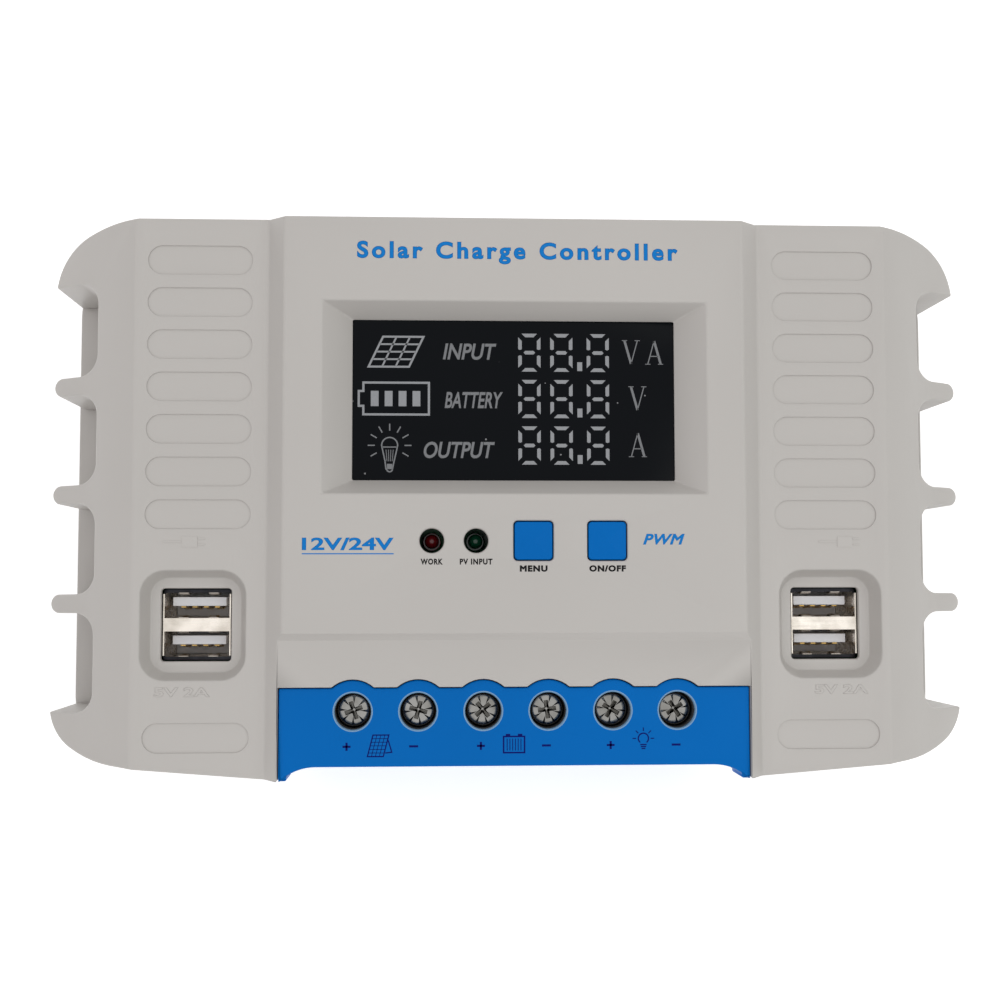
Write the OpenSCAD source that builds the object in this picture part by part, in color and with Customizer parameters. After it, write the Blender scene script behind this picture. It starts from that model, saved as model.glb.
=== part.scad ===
// Solar charge controller: a wall or bench mounted box with a sunk display, two push buttons,
// two indicator lamps, four USB sockets and six screw terminals under a clip-on cover.
// Millimetres. The part lies on its back: +X to the right, +Y away from the terminals, +Z out of the front.
// The origin is the middle of the back plane.

/* [Housing] */
// Overall width across the side grips
case_width = 195; // [192:1:198]
// Depth from the terminal edge to the far edge
case_depth = 115; // [114:0.5:117]
// Height from the back plane to the front panel
case_height = 42; // [41.5:0.5:44]
// Wall thickness of the moulded covers
wall = 2.2; // [2:0.1:2.4]
// Height of the base tray's rim
rim_height = 4; // [3.6:0.1:4.2]
// Half width of the raised centre panel
panel_half = 47.2; // [46.8:0.1:47.6]
// How far the side wings lie below the centre panel
wing_drop = 3.5; // [3:0.1:4]
// Half width at the ridge where the wings turn down
ridge_half = 78; // [77:0.5:79]
// How far the outer end of the slope lies below the centre panel
tip_drop = 16.5; // [15:0.5:18]

/* [Side grips] */
// Half width between the inner walls of the notches
grip_half = 87; // [86.5:0.5:88]
// Thickness of each fin
fin_thickness = 3.9; // [3:0.1:4.5]
// Distance from fin to fin
fin_pitch = 22.9; // [22:0.1:23.5]
// Radius in the corners of the notches
notch_radius = 4.5; // [3:0.5:6]

/* [Display] */
// Width of the window
window_width = 67.2; // [64:0.2:68]
// Height of the window
window_height = 33.5; // [32:0.5:34]
// Depth of the sunk frame round the window
bezel_depth = 5.2; // [4.5:0.1:5.4]

/* [Buttons and lamps] */
// Side of each square button
button_size = 7.7; // [7.2:0.1:7.8]
// Travel of each button
button_travel = 0.4; // [0.3:0.1:0.5]
// Diameter of the holes over the lamps
lamp_hole = 5; // [4.6:0.1:5.2]

/* [USB sockets] */
// Distance from the centre line to each double socket
usb_x = 65.6; // [65:0.1:66]
// Width of the double socket's metal shell
usb_width = 14; // [13.8:0.1:14.1]
// Height of the double socket's metal shell, across both ports
usb_height = 14.6; // [14.5:0.1:14.7]
// Distance from port to port
usb_pitch = 8; // [7.9:0.1:8]

/* [Terminals] */
// Distance from terminal to terminal
terminal_pitch = 13.2; // [13:0.1:13.3]
// Diameter of the screw access holes
access_hole = 7.4; // [7.2:0.1:7.6]
// Diameter of the screw heads
screw_head = 6.5; // [6:0.1:6.6]
// Height of the wire opening in an open clamp
wire_height = 5.8; // [5.6:0.1:5.8]

/* [Hidden] */
$fn = 48;

grey = [0.74, 0.72, 0.71];
blue = [0.0, 0.4, 0.7];
metal = [0.8, 0.79, 0.77];
board_green = [0.05, 0.35, 0.2];
black = [0.08, 0.08, 0.09];

cut = 1;                 // overshoot of a cutting shape
gap = 0.2;               // clearance between separate pieces
far_edge = case_depth / 2;
near_edge = -case_depth / 2;
side_edge = case_width / 2;
seam_z = rim_height + gap;
wing_z = case_height - wing_drop;
tip_z = case_height - tip_drop;
chamfer_foot = panel_half + 3.8;

// Plan outline: each far corner is a wide shoulder arc and a tight arc, each near corner the same
shoulder_r = 28;
shoulder_angle = 68;
far_corner_r = 12.8;
far_corner_x = side_edge - far_corner_r;
far_corner_y = far_edge - shoulder_r + (shoulder_r - far_corner_r) * sin(shoulder_angle);
shoulder_x = far_corner_x - (shoulder_r - far_corner_r) * cos(shoulder_angle);
near_corner_r = 10;
heel_r = 24;
heel_angle = 60;
edge_angle = 85.4;
bay_half = 48.1;
near_corner_x = side_edge - near_corner_r;
heel_x = near_corner_x - (heel_r - near_corner_r) * cos(heel_angle);
heel_end_x = heel_x + heel_r * cos(edge_angle);
heel_y = near_edge + (heel_end_x - bay_half) * tan(90 - edge_angle) + heel_r * sin(edge_angle);
near_corner_y = heel_y - (heel_r - near_corner_r) * sin(heel_angle);

// Inside of the top cover
cavity_half = grip_half - wall;
panel_under = case_height - wall;
wing_under = wing_z - wall;
chamfer_slope = wing_drop / (chamfer_foot - panel_half);
chamfer_offset = wall * sqrt(1 + chamfer_slope * chamfer_slope);
grip_slope = (wing_z - tip_z) / (side_edge - ridge_half);
grip_offset = wall * sqrt(1 + grip_slope * grip_slope);
chamfer_in_top = panel_half - (chamfer_offset - wall) / chamfer_slope;
chamfer_in_foot = chamfer_foot - (chamfer_offset - wall) / chamfer_slope;
ridge_in = ridge_half - (grip_offset - wall) / grip_slope;
cavity_side_z = wing_z - grip_offset - (cavity_half - ridge_half) * grip_slope;

// Side grips
middle_fin_y = 1;
fin_ys = [middle_fin_y + fin_pitch, middle_fin_y, middle_fin_y - fin_pitch];
far_notch_y = 45.4;
near_notch_y = -44.5;
notch_tops = [far_notch_y, fin_ys[0] - fin_thickness / 2, fin_ys[1] - fin_thickness / 2,
              fin_ys[2] - fin_thickness / 2];
notch_feet = [fin_ys[0] + fin_thickness / 2, fin_ys[1] + fin_thickness / 2,
              fin_ys[2] + fin_thickness / 2, near_notch_y];

// Pressed pads on the wings
pad_x = 64.8;
pad_length = 21.4;
pad_width = 6;
pad_depth = 0.35;
pad_pitch = 8.75;
pad_ys = concat([for (i = [0:6]) 48.9 - i * pad_pitch], [-48.9]);

// Front panel
step_y = -27.8;
step_run = 1.5;
step_drop = 1;
window_y = 20.3;
window_z = case_height - bezel_depth;
lip = 0.4;
window_glass = 1.5;
bezel_side = 6;
bezel_end = 3.1;
button_xs = [3.6, 18.7];
lamp_xs = [-17.1, -8.1];
control_y = -9.1;
button_gap = 0.25;
button_hole = button_size + 2 * button_gap;

// Circuit boards
board_top = 14;
board_thickness = 1.6;
board_under = board_top - board_thickness;
board_half = 81;
board_far = 50;
board_near = -52.4;
display_board_top = 29;
display_board_under = display_board_top - board_thickness;
display_board_half = 42;
display_board_near = -17;
display_board_far = 49;
display_boss_x = 38;
display_boss_ys = [-13, 45.5];
board_posts = [[77, 45], [-77, 45], [77, -46], [-77, -46], [0, 46], [32, -31], [-32, -31]];
header_x = -30;
header_y = -5;

// USB sockets
usb_y = -26.2;
well_width = 21.4;
well_length = 22.3;
well_depth = 4.4;
well_taper = 1.4;
well_floor = wing_z - well_depth;
well_plate = 1.6;
usb_mouth = well_floor - 1;
usb_tongue_z = usb_mouth - 3.4;
usb_port_width = 13.3;
usb_port_height = 5.2;
tongue_width = 11.1;
tongue_thickness = 1.84;
tongue_offset = 0.75;

// Terminals
terminal_y = -43.6;
terminal_xs = [for (i = [0:5]) (i - 2.5) * terminal_pitch];
cover_top = case_height - 1.6;
cover_thickness = 1.6;
cover_half = bay_half - gap;
cover_far = -38.9;
bump_r = 6.3;
cover_front = -54.7;
flare_r = 10.45;
flare_x = 40.5;
cover_side_z = 30;
block_half = 40.6;
block_near = -52.4;
block_far = -36.6;
block_top = 38;
head_top = cover_top - 3.2;
head_thickness = 2.3;
head_under = head_top - head_thickness;
block_well_floor = head_under - gap;
ceiling_under = 32.2;
shank_r = 2;
running = 0.05;
cage_foot = 15.2;
cage_bottom = 1.4;
cage_sill = cage_foot + cage_bottom;
bar_under = cage_sill + wire_height;
bar_thickness = 1;
bar_top = bar_under + bar_thickness;
cage_roof = bar_top + 0.6;
cage_top = cage_roof + 2.2;
cage_width = 9.6;
cage_inside = 7.6;
cage_depth = 7;
bar_width = 6;
bar_leg_y = -39.1;
screw_end = bar_top + gap;

// Base tray and heat sink
tray_floor = 2.5;
sink_width = 138;
sink_length = 68;
sink_hole_width = 124;
sink_hole_length = 60;
sink_y = 8;
sink_under = tray_floor + 0.1;
sink_top = sink_under + 2.5;
sink_fins = 21;
sink_screw_x = 65.5;
sink_screw_dy = 28;
case_screws_at = [[90, 49.5], [-90, 49.5], [90, -48.5], [-90, -48.5]];
keyhole_x = 74;
keyhole_y = -3;
keyhole_spacing = 62;
keyhole_r = 4.25;
keyhole_slot_r = 2.25;
keyhole_rise = 6;

// Power parts
transistor_xs = [for (i = [-2:2]) i * 22];
transistor_y = 20;
pad_sheet = 0.3;
tab_z = sink_top + pad_sheet;
fuse_x = 64;
fuse_ys = [42, 33, 24];
capacitor_r = 8;
capacitor_height = 20;
capacitors_at = [[-60, 38], [-60, 20], [-78 + capacitor_r, 3]];
inductor_at = [66, 3];

// ---------- shared shapes ----------

function arc(cx, cy, r, from, to, steps) = [
    for (i = [0:steps]) let (a = from + (to - from) * i / steps) [cx + r * cos(a), cy + r * sin(a)]
];

function right_edge(inset) = concat(
    arc(shoulder_x, far_edge - shoulder_r, shoulder_r - inset, 90, shoulder_angle, 6),
    arc(far_corner_x, far_corner_y, far_corner_r - inset, shoulder_angle, 0, 12),
    arc(near_corner_x, near_corner_y, near_corner_r - inset, 0, -heel_angle, 10),
    arc(heel_x, heel_y, heel_r - inset, -heel_angle, -edge_angle, 5),
    [[bay_half, near_edge + inset]]
);

function mirrored(points) = [for (i = [len(points) - 1:-1:0]) [-points[i][0], points[i][1]]];

module case_outline(inset = 0) {
    polygon(concat(right_edge(inset), mirrored(right_edge(inset))));
}

module slab(low, high) {
    translate([0, 0, low]) linear_extrude(height = high - low) children();
}

module along_y(near, far) {
    translate([0, far, 0]) rotate([90, 0, 0]) linear_extrude(height = far - near) children();
}

module along_x(left, right) {
    translate([left, 0, 0]) rotate([90, 0, 90]) linear_extrude(height = right - left) children();
}

module rounded_rect(width, length, r) {
    square([width - 2 * r, length], center = true);
    square([width, length - 2 * r], center = true);
    for (x = [-1, 1], y = [-1, 1]) translate([x * (width / 2 - r), y * (length / 2 - r)]) circle(r = r);
}

module stadium(length, width) {
    square([length - width, width], center = true);
    for (x = [-1, 1]) translate([x * (length - width) / 2, 0]) circle(r = width / 2);
}

module block_at(x, y, width, length, low, high) {
    translate([x - width / 2, y - length / 2, low]) cube([width, length, high - low]);
}

module post(x, y, r, low, high) {
    translate([x, y, low]) cylinder(r = r, h = high - low);
}

// Pan-head screw with a cross recess: head towards +Z, its underside at z = 0
module pan_screw(head_r, head_h, r, length) {
    difference() {
        union() {
            cylinder(r = head_r, h = head_h);
            translate([0, 0, -length]) cylinder(r = r, h = length + cut / 2);
        }
        translate([0, 0, head_h - 0.9]) for (a = [0, 90]) rotate(a)
            cube([head_r * 1.2, 0.7, 2], center = true);
    }
}

// ---------- housing ----------

// The opening that the terminal cover fills, grown all round by clearance
module terminal_bay(clearance) {
    half = cover_half + clearance;
    translate([-half, near_edge - cut]) square([2 * half, cover_far + clearance - near_edge + cut]);
    for (x = terminal_xs) translate([x, terminal_y]) circle(r = bump_r + clearance);
}

module front_recess(inset = 0) {
    centre_y = cover_front - flare_r;
    translate([-flare_x, near_edge - 20]) square([2 * flare_x, cover_front + inset - near_edge + 20]);
    for (x = [-1, 1]) translate([x * flare_x, centre_y]) circle(r = flare_r + inset);
}

module outer_profile() {
    right = [[panel_half, case_height], [chamfer_foot, wing_z], [ridge_half, wing_z],
             [side_edge, tip_z], [side_edge, seam_z]];
    polygon(concat(right, mirrored(right)));
}

module inner_profile() {
    right = [[chamfer_in_top, panel_under], [chamfer_in_foot, wing_under], [ridge_in, wing_under],
             [cavity_half, cavity_side_z], [cavity_half, seam_z - cut]];
    polygon(concat(right, mirrored(right)));
}

module case_cavity() {
    intersection() {
        along_y(near_edge, far_edge) inner_profile();
        slab(0, case_height) case_outline(wall);
    }
}

module grip_cuts(low) {
    for (side = [-1, 1]) {
        for (i = [0:3]) {
            middle = (notch_tops[i] + notch_feet[i]) / 2;
            slab(low, case_height) translate([side * (grip_half + 20), middle])
                rounded_rect(40, notch_tops[i] - notch_feet[i], notch_radius);
        }
        for (y = fin_ys) slab(low, case_height) translate([side * (side_edge - fin_thickness / 2), y])
            mirror([side < 0 ? 1 : 0, 0]) difference() {
                translate([0, -fin_thickness / 2 - cut]) square([fin_thickness, fin_thickness + 2 * cut]);
                circle(r = fin_thickness / 2);
            }
    }
}

module wing_pads() {
    for (side = [-1, 1], y = pad_ys) translate([side * pad_x, y, 0])
        slab(wing_z - pad_depth, wing_z + cut) stadium(pad_length, pad_width);
}

module usb_well() {
    hull() {
        slab(wing_z, wing_z + 0.01) rounded_rect(well_width, well_length, 5);
        slab(well_floor, well_floor + 0.01)
            rounded_rect(well_width - 2 * well_taper, well_length - 2 * well_taper, 4);
    }
}

module bezel_recess() {
    translate([0, window_y, 0]) {
        hull() {
            slab(case_height, case_height + 0.01)
                square([window_width + 2 * bezel_side, window_height + 2 * bezel_end], center = true);
            slab(window_z, window_z + 0.01) square([window_width, window_height], center = true);
        }
        slab(window_z - lip - cut, window_z + 0.01) square([window_width, window_height], center = true);
    }
}

module panel_step() {
    along_x(-chamfer_foot, chamfer_foot) polygon([
        [step_y, case_height + cut], [step_y, case_height], [step_y - step_run, case_height - step_drop],
        [near_edge - cut, case_height - step_drop], [near_edge - cut, case_height + cut]
    ]);
}

module top_cover() {
    color(grey) difference() {
        union() {
            difference() {
                intersection() {
                    along_y(near_edge - cut, far_edge) outer_profile();
                    slab(seam_z, case_height) case_outline();
                }
                case_cavity();
            }
            block_at(0, window_y, window_width + 2 * bezel_side + 3, window_height + 2 * bezel_end + 3,
                     window_z - lip, panel_under + 0.1);
            for (side = [-1, 1]) {
                block_at(side * usb_x, usb_y, well_width + 2, well_length + 2,
                         well_floor - well_plate, wing_under + 0.1);
                block_at(side * (bay_half + 0.9), (cover_far + near_edge) / 2 + 1, 1.8, 17.5,
                         cover_side_z, wing_under + cut);
            }
            for (x = [-1, 1], y = display_boss_ys)
                post(x * display_boss_x, y, 3.2, display_board_top, panel_under + 0.1);
        }
        grip_cuts(0);
        wing_pads();
        panel_step();
        bezel_recess();
        for (side = [-1, 1]) translate([side * usb_x, usb_y, 0]) {
            usb_well();
            slab(0, well_floor + cut) rounded_rect(usb_width + 0.4, usb_height + 0.4, 0.7);
        }
        for (x = button_xs) translate([x, control_y, 0])
            slab(panel_under - cut, case_height + cut) rounded_rect(button_hole, button_hole, 0.9);
        for (x = lamp_xs) post(x, control_y, lamp_hole / 2, panel_under - cut, case_height + cut);
        slab(wing_under - 2, case_height + cut) terminal_bay(gap);
        block_at(0, near_edge, 2 * bay_half, 2 * (wall + 4.5), 0, case_height + cut);
        for (x = [-1, 1], y = display_boss_ys)
            post(x * display_boss_x, y, 1.3, display_board_top - cut, panel_under - 2);
        for (p = case_screws_at) post(p[0], p[1], 1.45, 0, 18);
    }
}

module wire_entry(x) {
    low = cage_sill - 0.5;
    high = bar_under + 0.6;
    translate([x, near_edge, (low + high) / 2]) rotate([90, 0, 0])
        linear_extrude(height = 20, center = true) rounded_rect(8.6, high - low, 1.2);
}

module terminal_cover() {
    color(blue) difference() {
        union() {
            slab(cover_top - cover_thickness, cover_top) difference() {
                intersection() {
                    terminal_bay(0);
                    translate([-cover_half, near_edge]) square([2 * cover_half, case_depth]);
                }
                front_recess();
            }
            slab(seam_z, cover_top - cover_thickness + 0.1) difference() {
                translate([-cover_half, near_edge]) square([2 * cover_half, 4.4]);
                front_recess();
                difference() {
                    translate([-cover_half, near_edge - cut]) square([2 * cover_half, 5.5 + cut]);
                    front_recess(cover_thickness);
                    for (x = [-1, 1]) translate([x * (cover_half - cover_thickness / 2), near_edge])
                        square([cover_thickness, 20], center = true);
                }
            }
            for (x = [-1, 1])
                block_at(x * (cover_half - cover_thickness / 2), (near_edge + cover_far) / 2,
                         cover_thickness, cover_far - near_edge, cover_side_z, cover_top - 0.5);
            for (x = [-1, 1]) block_at(x * 43.8, cover_far - 1.5, 5, 1.4, cover_side_z + 1, cover_top - 0.5);
        }
        for (x = terminal_xs) {
            post(x, terminal_y, access_hole / 2, cover_top - cover_thickness - cut, cover_top + cut);
            wire_entry(x);
        }
    }
}

module keyhole() {
    circle(r = keyhole_r);
    translate([-keyhole_slot_r, 0]) square([2 * keyhole_slot_r, keyhole_rise]);
    translate([0, keyhole_rise]) circle(r = keyhole_slot_r);
}

module tray_lip() {
    difference() {
        intersection() {
            case_outline(wall + 0.3);
            square([2 * (cavity_half - 0.3), 2 * case_depth], center = true);
        }
        intersection() {
            case_outline(wall + 1.9);
            square([2 * (cavity_half - 1.9), 2 * case_depth], center = true);
        }
        translate([-bay_half - 3, near_edge - cut]) square([2 * bay_half + 6, 8]);
    }
}

module base_tray() {
    color(grey) difference() {
        union() {
            slab(0, rim_height) difference() {
                case_outline();
                front_recess();
            }
            slab(rim_height - cut, rim_height + 3) tray_lip();
            for (p = board_posts) post(p[0], p[1], 3.5, tray_floor - cut, board_under);
        }
        slab(tray_floor, rim_height + cut) difference() {
            intersection() {
                case_outline(wall + 1.9);
                translate([-cavity_half + 1.9, near_edge + 6]) square([2 * cavity_half - 3.8, case_depth]);
            }
            for (p = board_posts) translate(p) circle(r = 3.5);
        }
        block_at(0, sink_y, sink_hole_width, sink_hole_length, -cut, rim_height);
        for (p = board_posts) post(p[0], p[1], 1.3, tray_floor + 2, board_under + cut);
        for (p = case_screws_at) {
            post(p[0], p[1], 1.6, -cut, rim_height + cut);
            post(p[0], p[1], 3.2, -cut, 2);
        }
        for (x = [-1, 1], y = [-1, 1]) {
            post(x * sink_screw_x, sink_y + y * sink_screw_dy, 1.6, -cut, tray_floor + cut);
            post(x * sink_screw_x, sink_y + y * sink_screw_dy, 3, -cut, 1.4);
            slab(-cut, rim_height) translate([x * keyhole_x, keyhole_y + y * keyhole_spacing / 2]) keyhole();
        }
    }
}

module heat_sink() {
    fin_step = (sink_hole_width - 4) / (sink_fins - 1);
    color([0.72, 0.73, 0.75]) difference() {
        union() {
            block_at(0, sink_y, sink_width, sink_length, sink_under, sink_top);
            for (i = [0:sink_fins - 1])
                block_at((i - (sink_fins - 1) / 2) * fin_step, sink_y, 1.6, sink_hole_length - 1,
                         0.5, sink_under + 0.1);
        }
        for (x = [-1, 1], y = [-1, 1])
            post(x * sink_screw_x, sink_y + y * sink_screw_dy, 1.5, 0, sink_top + cut);
        for (x = transistor_xs) post(x, transistor_y + 12.6, 1.5, sink_under - 0.4, sink_top + cut);
    }
}

// ---------- display and controls ----------

module display_window() {
    color(black) block_at(0, window_y, window_width + 2.6, window_height + 2.6,
                          window_z - lip - window_glass, window_z - lip);
}

module display_module() {
    color(black) block_at(0, window_y, window_width, window_height,
                          display_board_top, window_z - lip - window_glass);
}

module display_board() {
    color(board_green) difference() {
        block_at(0, (display_board_near + display_board_far) / 2, 2 * display_board_half,
                 display_board_far - display_board_near, display_board_under, display_board_top);
        for (x = [-1, 1], y = display_boss_ys)
            post(x * display_boss_x, y, 1.6, display_board_under - cut, display_board_top + cut);
        for (x = lamp_xs, dx = [-1.27, 1.27])
            post(x + dx, control_y, 0.5, display_board_under - cut, display_board_top + cut);
    }
}

module display_screws() {
    color(metal) for (x = [-1, 1], y = display_boss_ys)
        translate([x * display_boss_x, y, display_board_under]) mirror([0, 0, 1])
            pan_screw(2.8, 1.8, 1.25, 7);
}

module board_header() {
    pins = 8;
    color(black) block_at(header_x, header_y, 4.9, pins * 2.54, board_top, display_board_under);
    color(metal) for (i = [0:pins - 1], dx = [-1.27, 1.27])
        block_at(header_x + dx, header_y + (i - (pins - 1) / 2) * 2.54, 0.6, 0.6,
                 board_under - 1.4, board_top + 0.1);
}

module push_button(x) {
    stem_top = panel_under - 1.6;
    translate([x, control_y, 0]) {
        block_at(0, 0, 4.6, 4.6, display_board_top + 5.6, stem_top + 0.1);
        slab(stem_top, panel_under - gap) rounded_rect(button_size + 2, button_size + 2, 0.9);
        slab(panel_under - gap - 0.1, case_height - 0.1) rounded_rect(button_size, button_size, 0.7);
        translate([0, 0, case_height - 0.1]) rotate(45)
            cylinder(r1 = (button_size - 0.6) / sqrt(2), r2 = 0.3, h = 0.5, $fn = 4);
    }
}

module switch_plunger(x) {
    post(x, control_y, 1.75, display_board_top + 2.4, display_board_top + 5.6);
}

module tact_switch(x) {
    difference() {
        block_at(x, control_y, 6.2, 6.2, display_board_top, display_board_top + 3.6);
        post(x, control_y, 1.75 + running, display_board_top + 2.2 - button_travel,
             display_board_top + 3.6 + cut);
    }
    for (dx = [-1, 1], dy = [-1, 1])
        block_at(x + dx * 3.4, control_y + dy * 2.25, 0.8, 0.7, display_board_top, display_board_top + 0.4);
}

module menu_button() {
    color(blue) push_button(button_xs[0]);
}

module power_button() {
    color(blue) push_button(button_xs[1]);
}

module menu_plunger() {
    color(black) switch_plunger(button_xs[0]);
}

module power_plunger() {
    color(black) switch_plunger(button_xs[1]);
}

module menu_switch() {
    color(black) tact_switch(button_xs[0]);
}

module power_switch() {
    color(black) tact_switch(button_xs[1]);
}

module lamp(x) {
    post(x, control_y, 1.9, display_board_top + 3, display_board_top + 4);
    post(x, control_y, 1.5, display_board_top + 3.9, display_board_top + 7.5);
    translate([x, control_y, display_board_top + 7.5]) sphere(r = 1.5);
}

module work_lamp() {
    color([0.5, 0.05, 0.04]) lamp(lamp_xs[0]);
}

module input_lamp() {
    color([0.03, 0.35, 0.12]) lamp(lamp_xs[1]);
}

module lamp_leads() {
    color(metal) for (x = lamp_xs, dx = [-1.27, 1.27])
        block_at(x + dx, control_y, 0.5, 0.5, display_board_under - 1, display_board_top + 3);
}

// ---------- main board and sockets ----------

module main_board() {
    color(board_green) difference() {
        block_at(0, (board_near + board_far) / 2, 2 * board_half, board_far - board_near,
                 board_under, board_top);
        for (p = board_posts) post(p[0], p[1], 1.6, board_under - cut, board_top + cut);
        for (x = terminal_xs) block_at(x, bar_leg_y, bar_width + 0.4, bar_thickness + 0.4,
                                       board_under - cut, board_top + cut);
        for (x = transistor_xs, i = [-1:1])
            post(x + i * 2.54, transistor_y - 4.2, 0.7, board_under - cut, board_top + cut);
        for (i = [0:7], dx = [-1.27, 1.27])
            post(header_x + dx, header_y + (i - 3.5) * 2.54, 0.5, board_under - cut, board_top + cut);
    }
}

module usb_shell(x) {
    translate([x, usb_y, 0]) difference() {
        slab(board_top, usb_mouth) rounded_rect(usb_width, usb_height, 0.5);
        for (y = [-1, 1]) block_at(0, y * usb_pitch / 2, usb_port_width, usb_port_height,
                                   board_top + 3, usb_mouth + cut);
    }
}

module usb_tongues(x) {
    for (y = [-1, 1]) {
        block_at(x, usb_y + y * usb_pitch / 2 + tongue_offset, tongue_width, tongue_thickness,
                 board_top + 3, usb_tongue_z);
        block_at(x, usb_y + y * usb_pitch / 2, usb_port_width - 0.1, usb_port_height - 0.1,
                 board_top + 3, board_top + 5);
    }
}

module usb_shell_left() {
    color(metal) usb_shell(-usb_x);
}

module usb_shell_right() {
    color(metal) usb_shell(usb_x);
}

module usb_tongues_left() {
    color("white") usb_tongues(-usb_x);
}

module usb_tongues_right() {
    color("white") usb_tongues(usb_x);
}

module usb_contacts() {
    under_tongue = tongue_offset - tongue_thickness / 2 - 0.2;
    color([0.85, 0.68, 0.3]) for (side = [-1, 1], y = [-1, 1], dx = [-3.5, -1, 1, 3.5])
        block_at(side * usb_x + dx, usb_y + y * usb_pitch / 2 + under_tongue, 1, 0.4,
                 board_top + 5, usb_tongue_z - 1);
}

// ---------- terminals ----------

module terminal_block() {
    color(black) difference() {
        block_at(0, (block_near + block_far) / 2, 2 * block_half, block_far - block_near,
                 board_top, block_top);
        for (x = terminal_xs) {
            post(x, terminal_y, access_hole / 2 - 0.1, block_well_floor, block_top + cut);
            post(x, terminal_y, shank_r + running, ceiling_under - cut, block_top);
            block_at(x, terminal_y, cage_width + 0.4, cage_depth + 0.4, cage_foot - 0.3, ceiling_under);
            block_at(x, (block_near + terminal_y) / 2, cage_inside + 0.2, terminal_y - block_near + 2,
                     cage_sill - 0.3, bar_under + 0.4);
            block_at(x, terminal_y + 3.5, bar_width + 0.4, 4.4, bar_under - 0.2, bar_top + gap);
            block_at(x, bar_leg_y, bar_width + 0.4, bar_thickness + 0.4, board_top - cut, bar_top + gap);
        }
    }
}

// Head with a cross recess and eight short radial slots, shank down through the clamp
module terminal_screw(i, turn) {
    translate([terminal_xs[i], terminal_y, 0]) rotate(turn) color(metal) difference() {
        union() {
            post(0, 0, screw_head / 2, head_under, head_top);
            post(0, 0, shank_r, screw_end, head_under + 0.1);
        }
        for (a = [0, 90]) rotate(a) block_at(0, 0, 4.2, 0.9, head_top - 1.4, head_top + cut);
        for (k = [0:7]) rotate(22.5 + 45 * k) block_at(2.6, 0, 1.5, 0.35, head_top - 0.4, head_top + cut);
    }
}

module clamp_cage(i) {
    color([0.75, 0.74, 0.7]) translate([terminal_xs[i], terminal_y, 0]) difference() {
        block_at(0, 0, cage_width, cage_depth, cage_foot, cage_top);
        block_at(0, 0, cage_inside, cage_depth + cut, cage_sill, cage_roof);
        post(0, 0, shank_r + running, cage_roof - cut, cage_top + cut);
    }
}

module terminal_screw_1() { terminal_screw(0, 20); }
module terminal_screw_2() { terminal_screw(1, 75); }
module terminal_screw_3() { terminal_screw(2, 40); }
module terminal_screw_4() { terminal_screw(3, 8); }
module terminal_screw_5() { terminal_screw(4, 60); }
module terminal_screw_6() { terminal_screw(5, 33); }
module clamp_cage_1() { clamp_cage(0); }
module clamp_cage_2() { clamp_cage(1); }
module clamp_cage_3() { clamp_cage(2); }
module clamp_cage_4() { clamp_cage(3); }
module clamp_cage_5() { clamp_cage(4); }
module clamp_cage_6() { clamp_cage(5); }

module busbars() {
    bar_front = terminal_y - cage_depth / 2 + 0.2;
    leg_back = bar_leg_y + bar_thickness / 2;
    color([0.85, 0.6, 0.4]) for (x = terminal_xs) {
        block_at(x, (bar_front + leg_back) / 2, bar_width, leg_back - bar_front, bar_under, bar_top);
        block_at(x, bar_leg_y, bar_width, bar_thickness, board_under - 1, bar_top);
    }
}

// ---------- parts on the boards ----------

module capacitors() {
    color([0.1, 0.12, 0.3]) for (p = capacitors_at)
        post(p[0], p[1], capacitor_r, board_top, board_top + capacitor_height);
}

module ring(r_in, r_out, low, high) {
    translate([inductor_at[0], inductor_at[1], 0]) slab(low, high) difference() {
        circle(r = r_out);
        circle(r = r_in);
    }
}

module inductor_core() {
    color([0.75, 0.65, 0.2]) ring(6.2, 11, board_top + 1.5, board_top + 10.5);
}

module inductor_winding() {
    turns = 14;
    color([0.75, 0.35, 0.15]) difference() {
        translate([inductor_at[0], inductor_at[1], 0]) intersection() {
            slab(board_top, board_top + 12) difference() {
                circle(r = 12.4);
                circle(r = 4.8);
            }
            union() for (k = [0:turns - 1]) rotate(k * 360 / turns)
                block_at(9, 0, 9, 1.5, board_top, board_top + 12);
        }
        ring(6.1, 11.1, board_top + 1.4, board_top + 10.6);
    }
}

module blade_fuses() {
    color([0.1, 0.6, 0.25]) for (y = fuse_ys) {
        block_at(fuse_x, y, 19, 5.2, board_top + 10, board_top + 18.5);
        for (dx = [-6, 6]) block_at(fuse_x + dx, y, 5, 0.7, board_top + 3, board_top + 10.1);
    }
}

module fuse_clips() {
    color(metal) for (y = fuse_ys, dx = [-6, 6], side = [-1, 1])
        block_at(fuse_x + dx, y + side * 0.85, 5.4, 0.8, board_top, board_top + 8.5);
}

module controller_chip() {
    color(black) block_at(14, 4, 10, 10, board_top + 0.1, board_top + 1.6);
    color(metal) for (a = [0:90:270], i = [-5:5]) translate([14, 4, 0]) rotate(a)
        block_at(5.6, i * 0.8, 1.4, 0.35, board_top, board_top + 0.8);
}

module current_shunts() {
    color([0.7, 0.6, 0.5]) for (x = [-14, 14]) along_y(-30.5, -27.5) translate([x, 0]) difference() {
        translate([-7, board_top]) square([14, 4]);
        translate([-6, board_top - cut]) square([12, 4]);
    }
}

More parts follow.
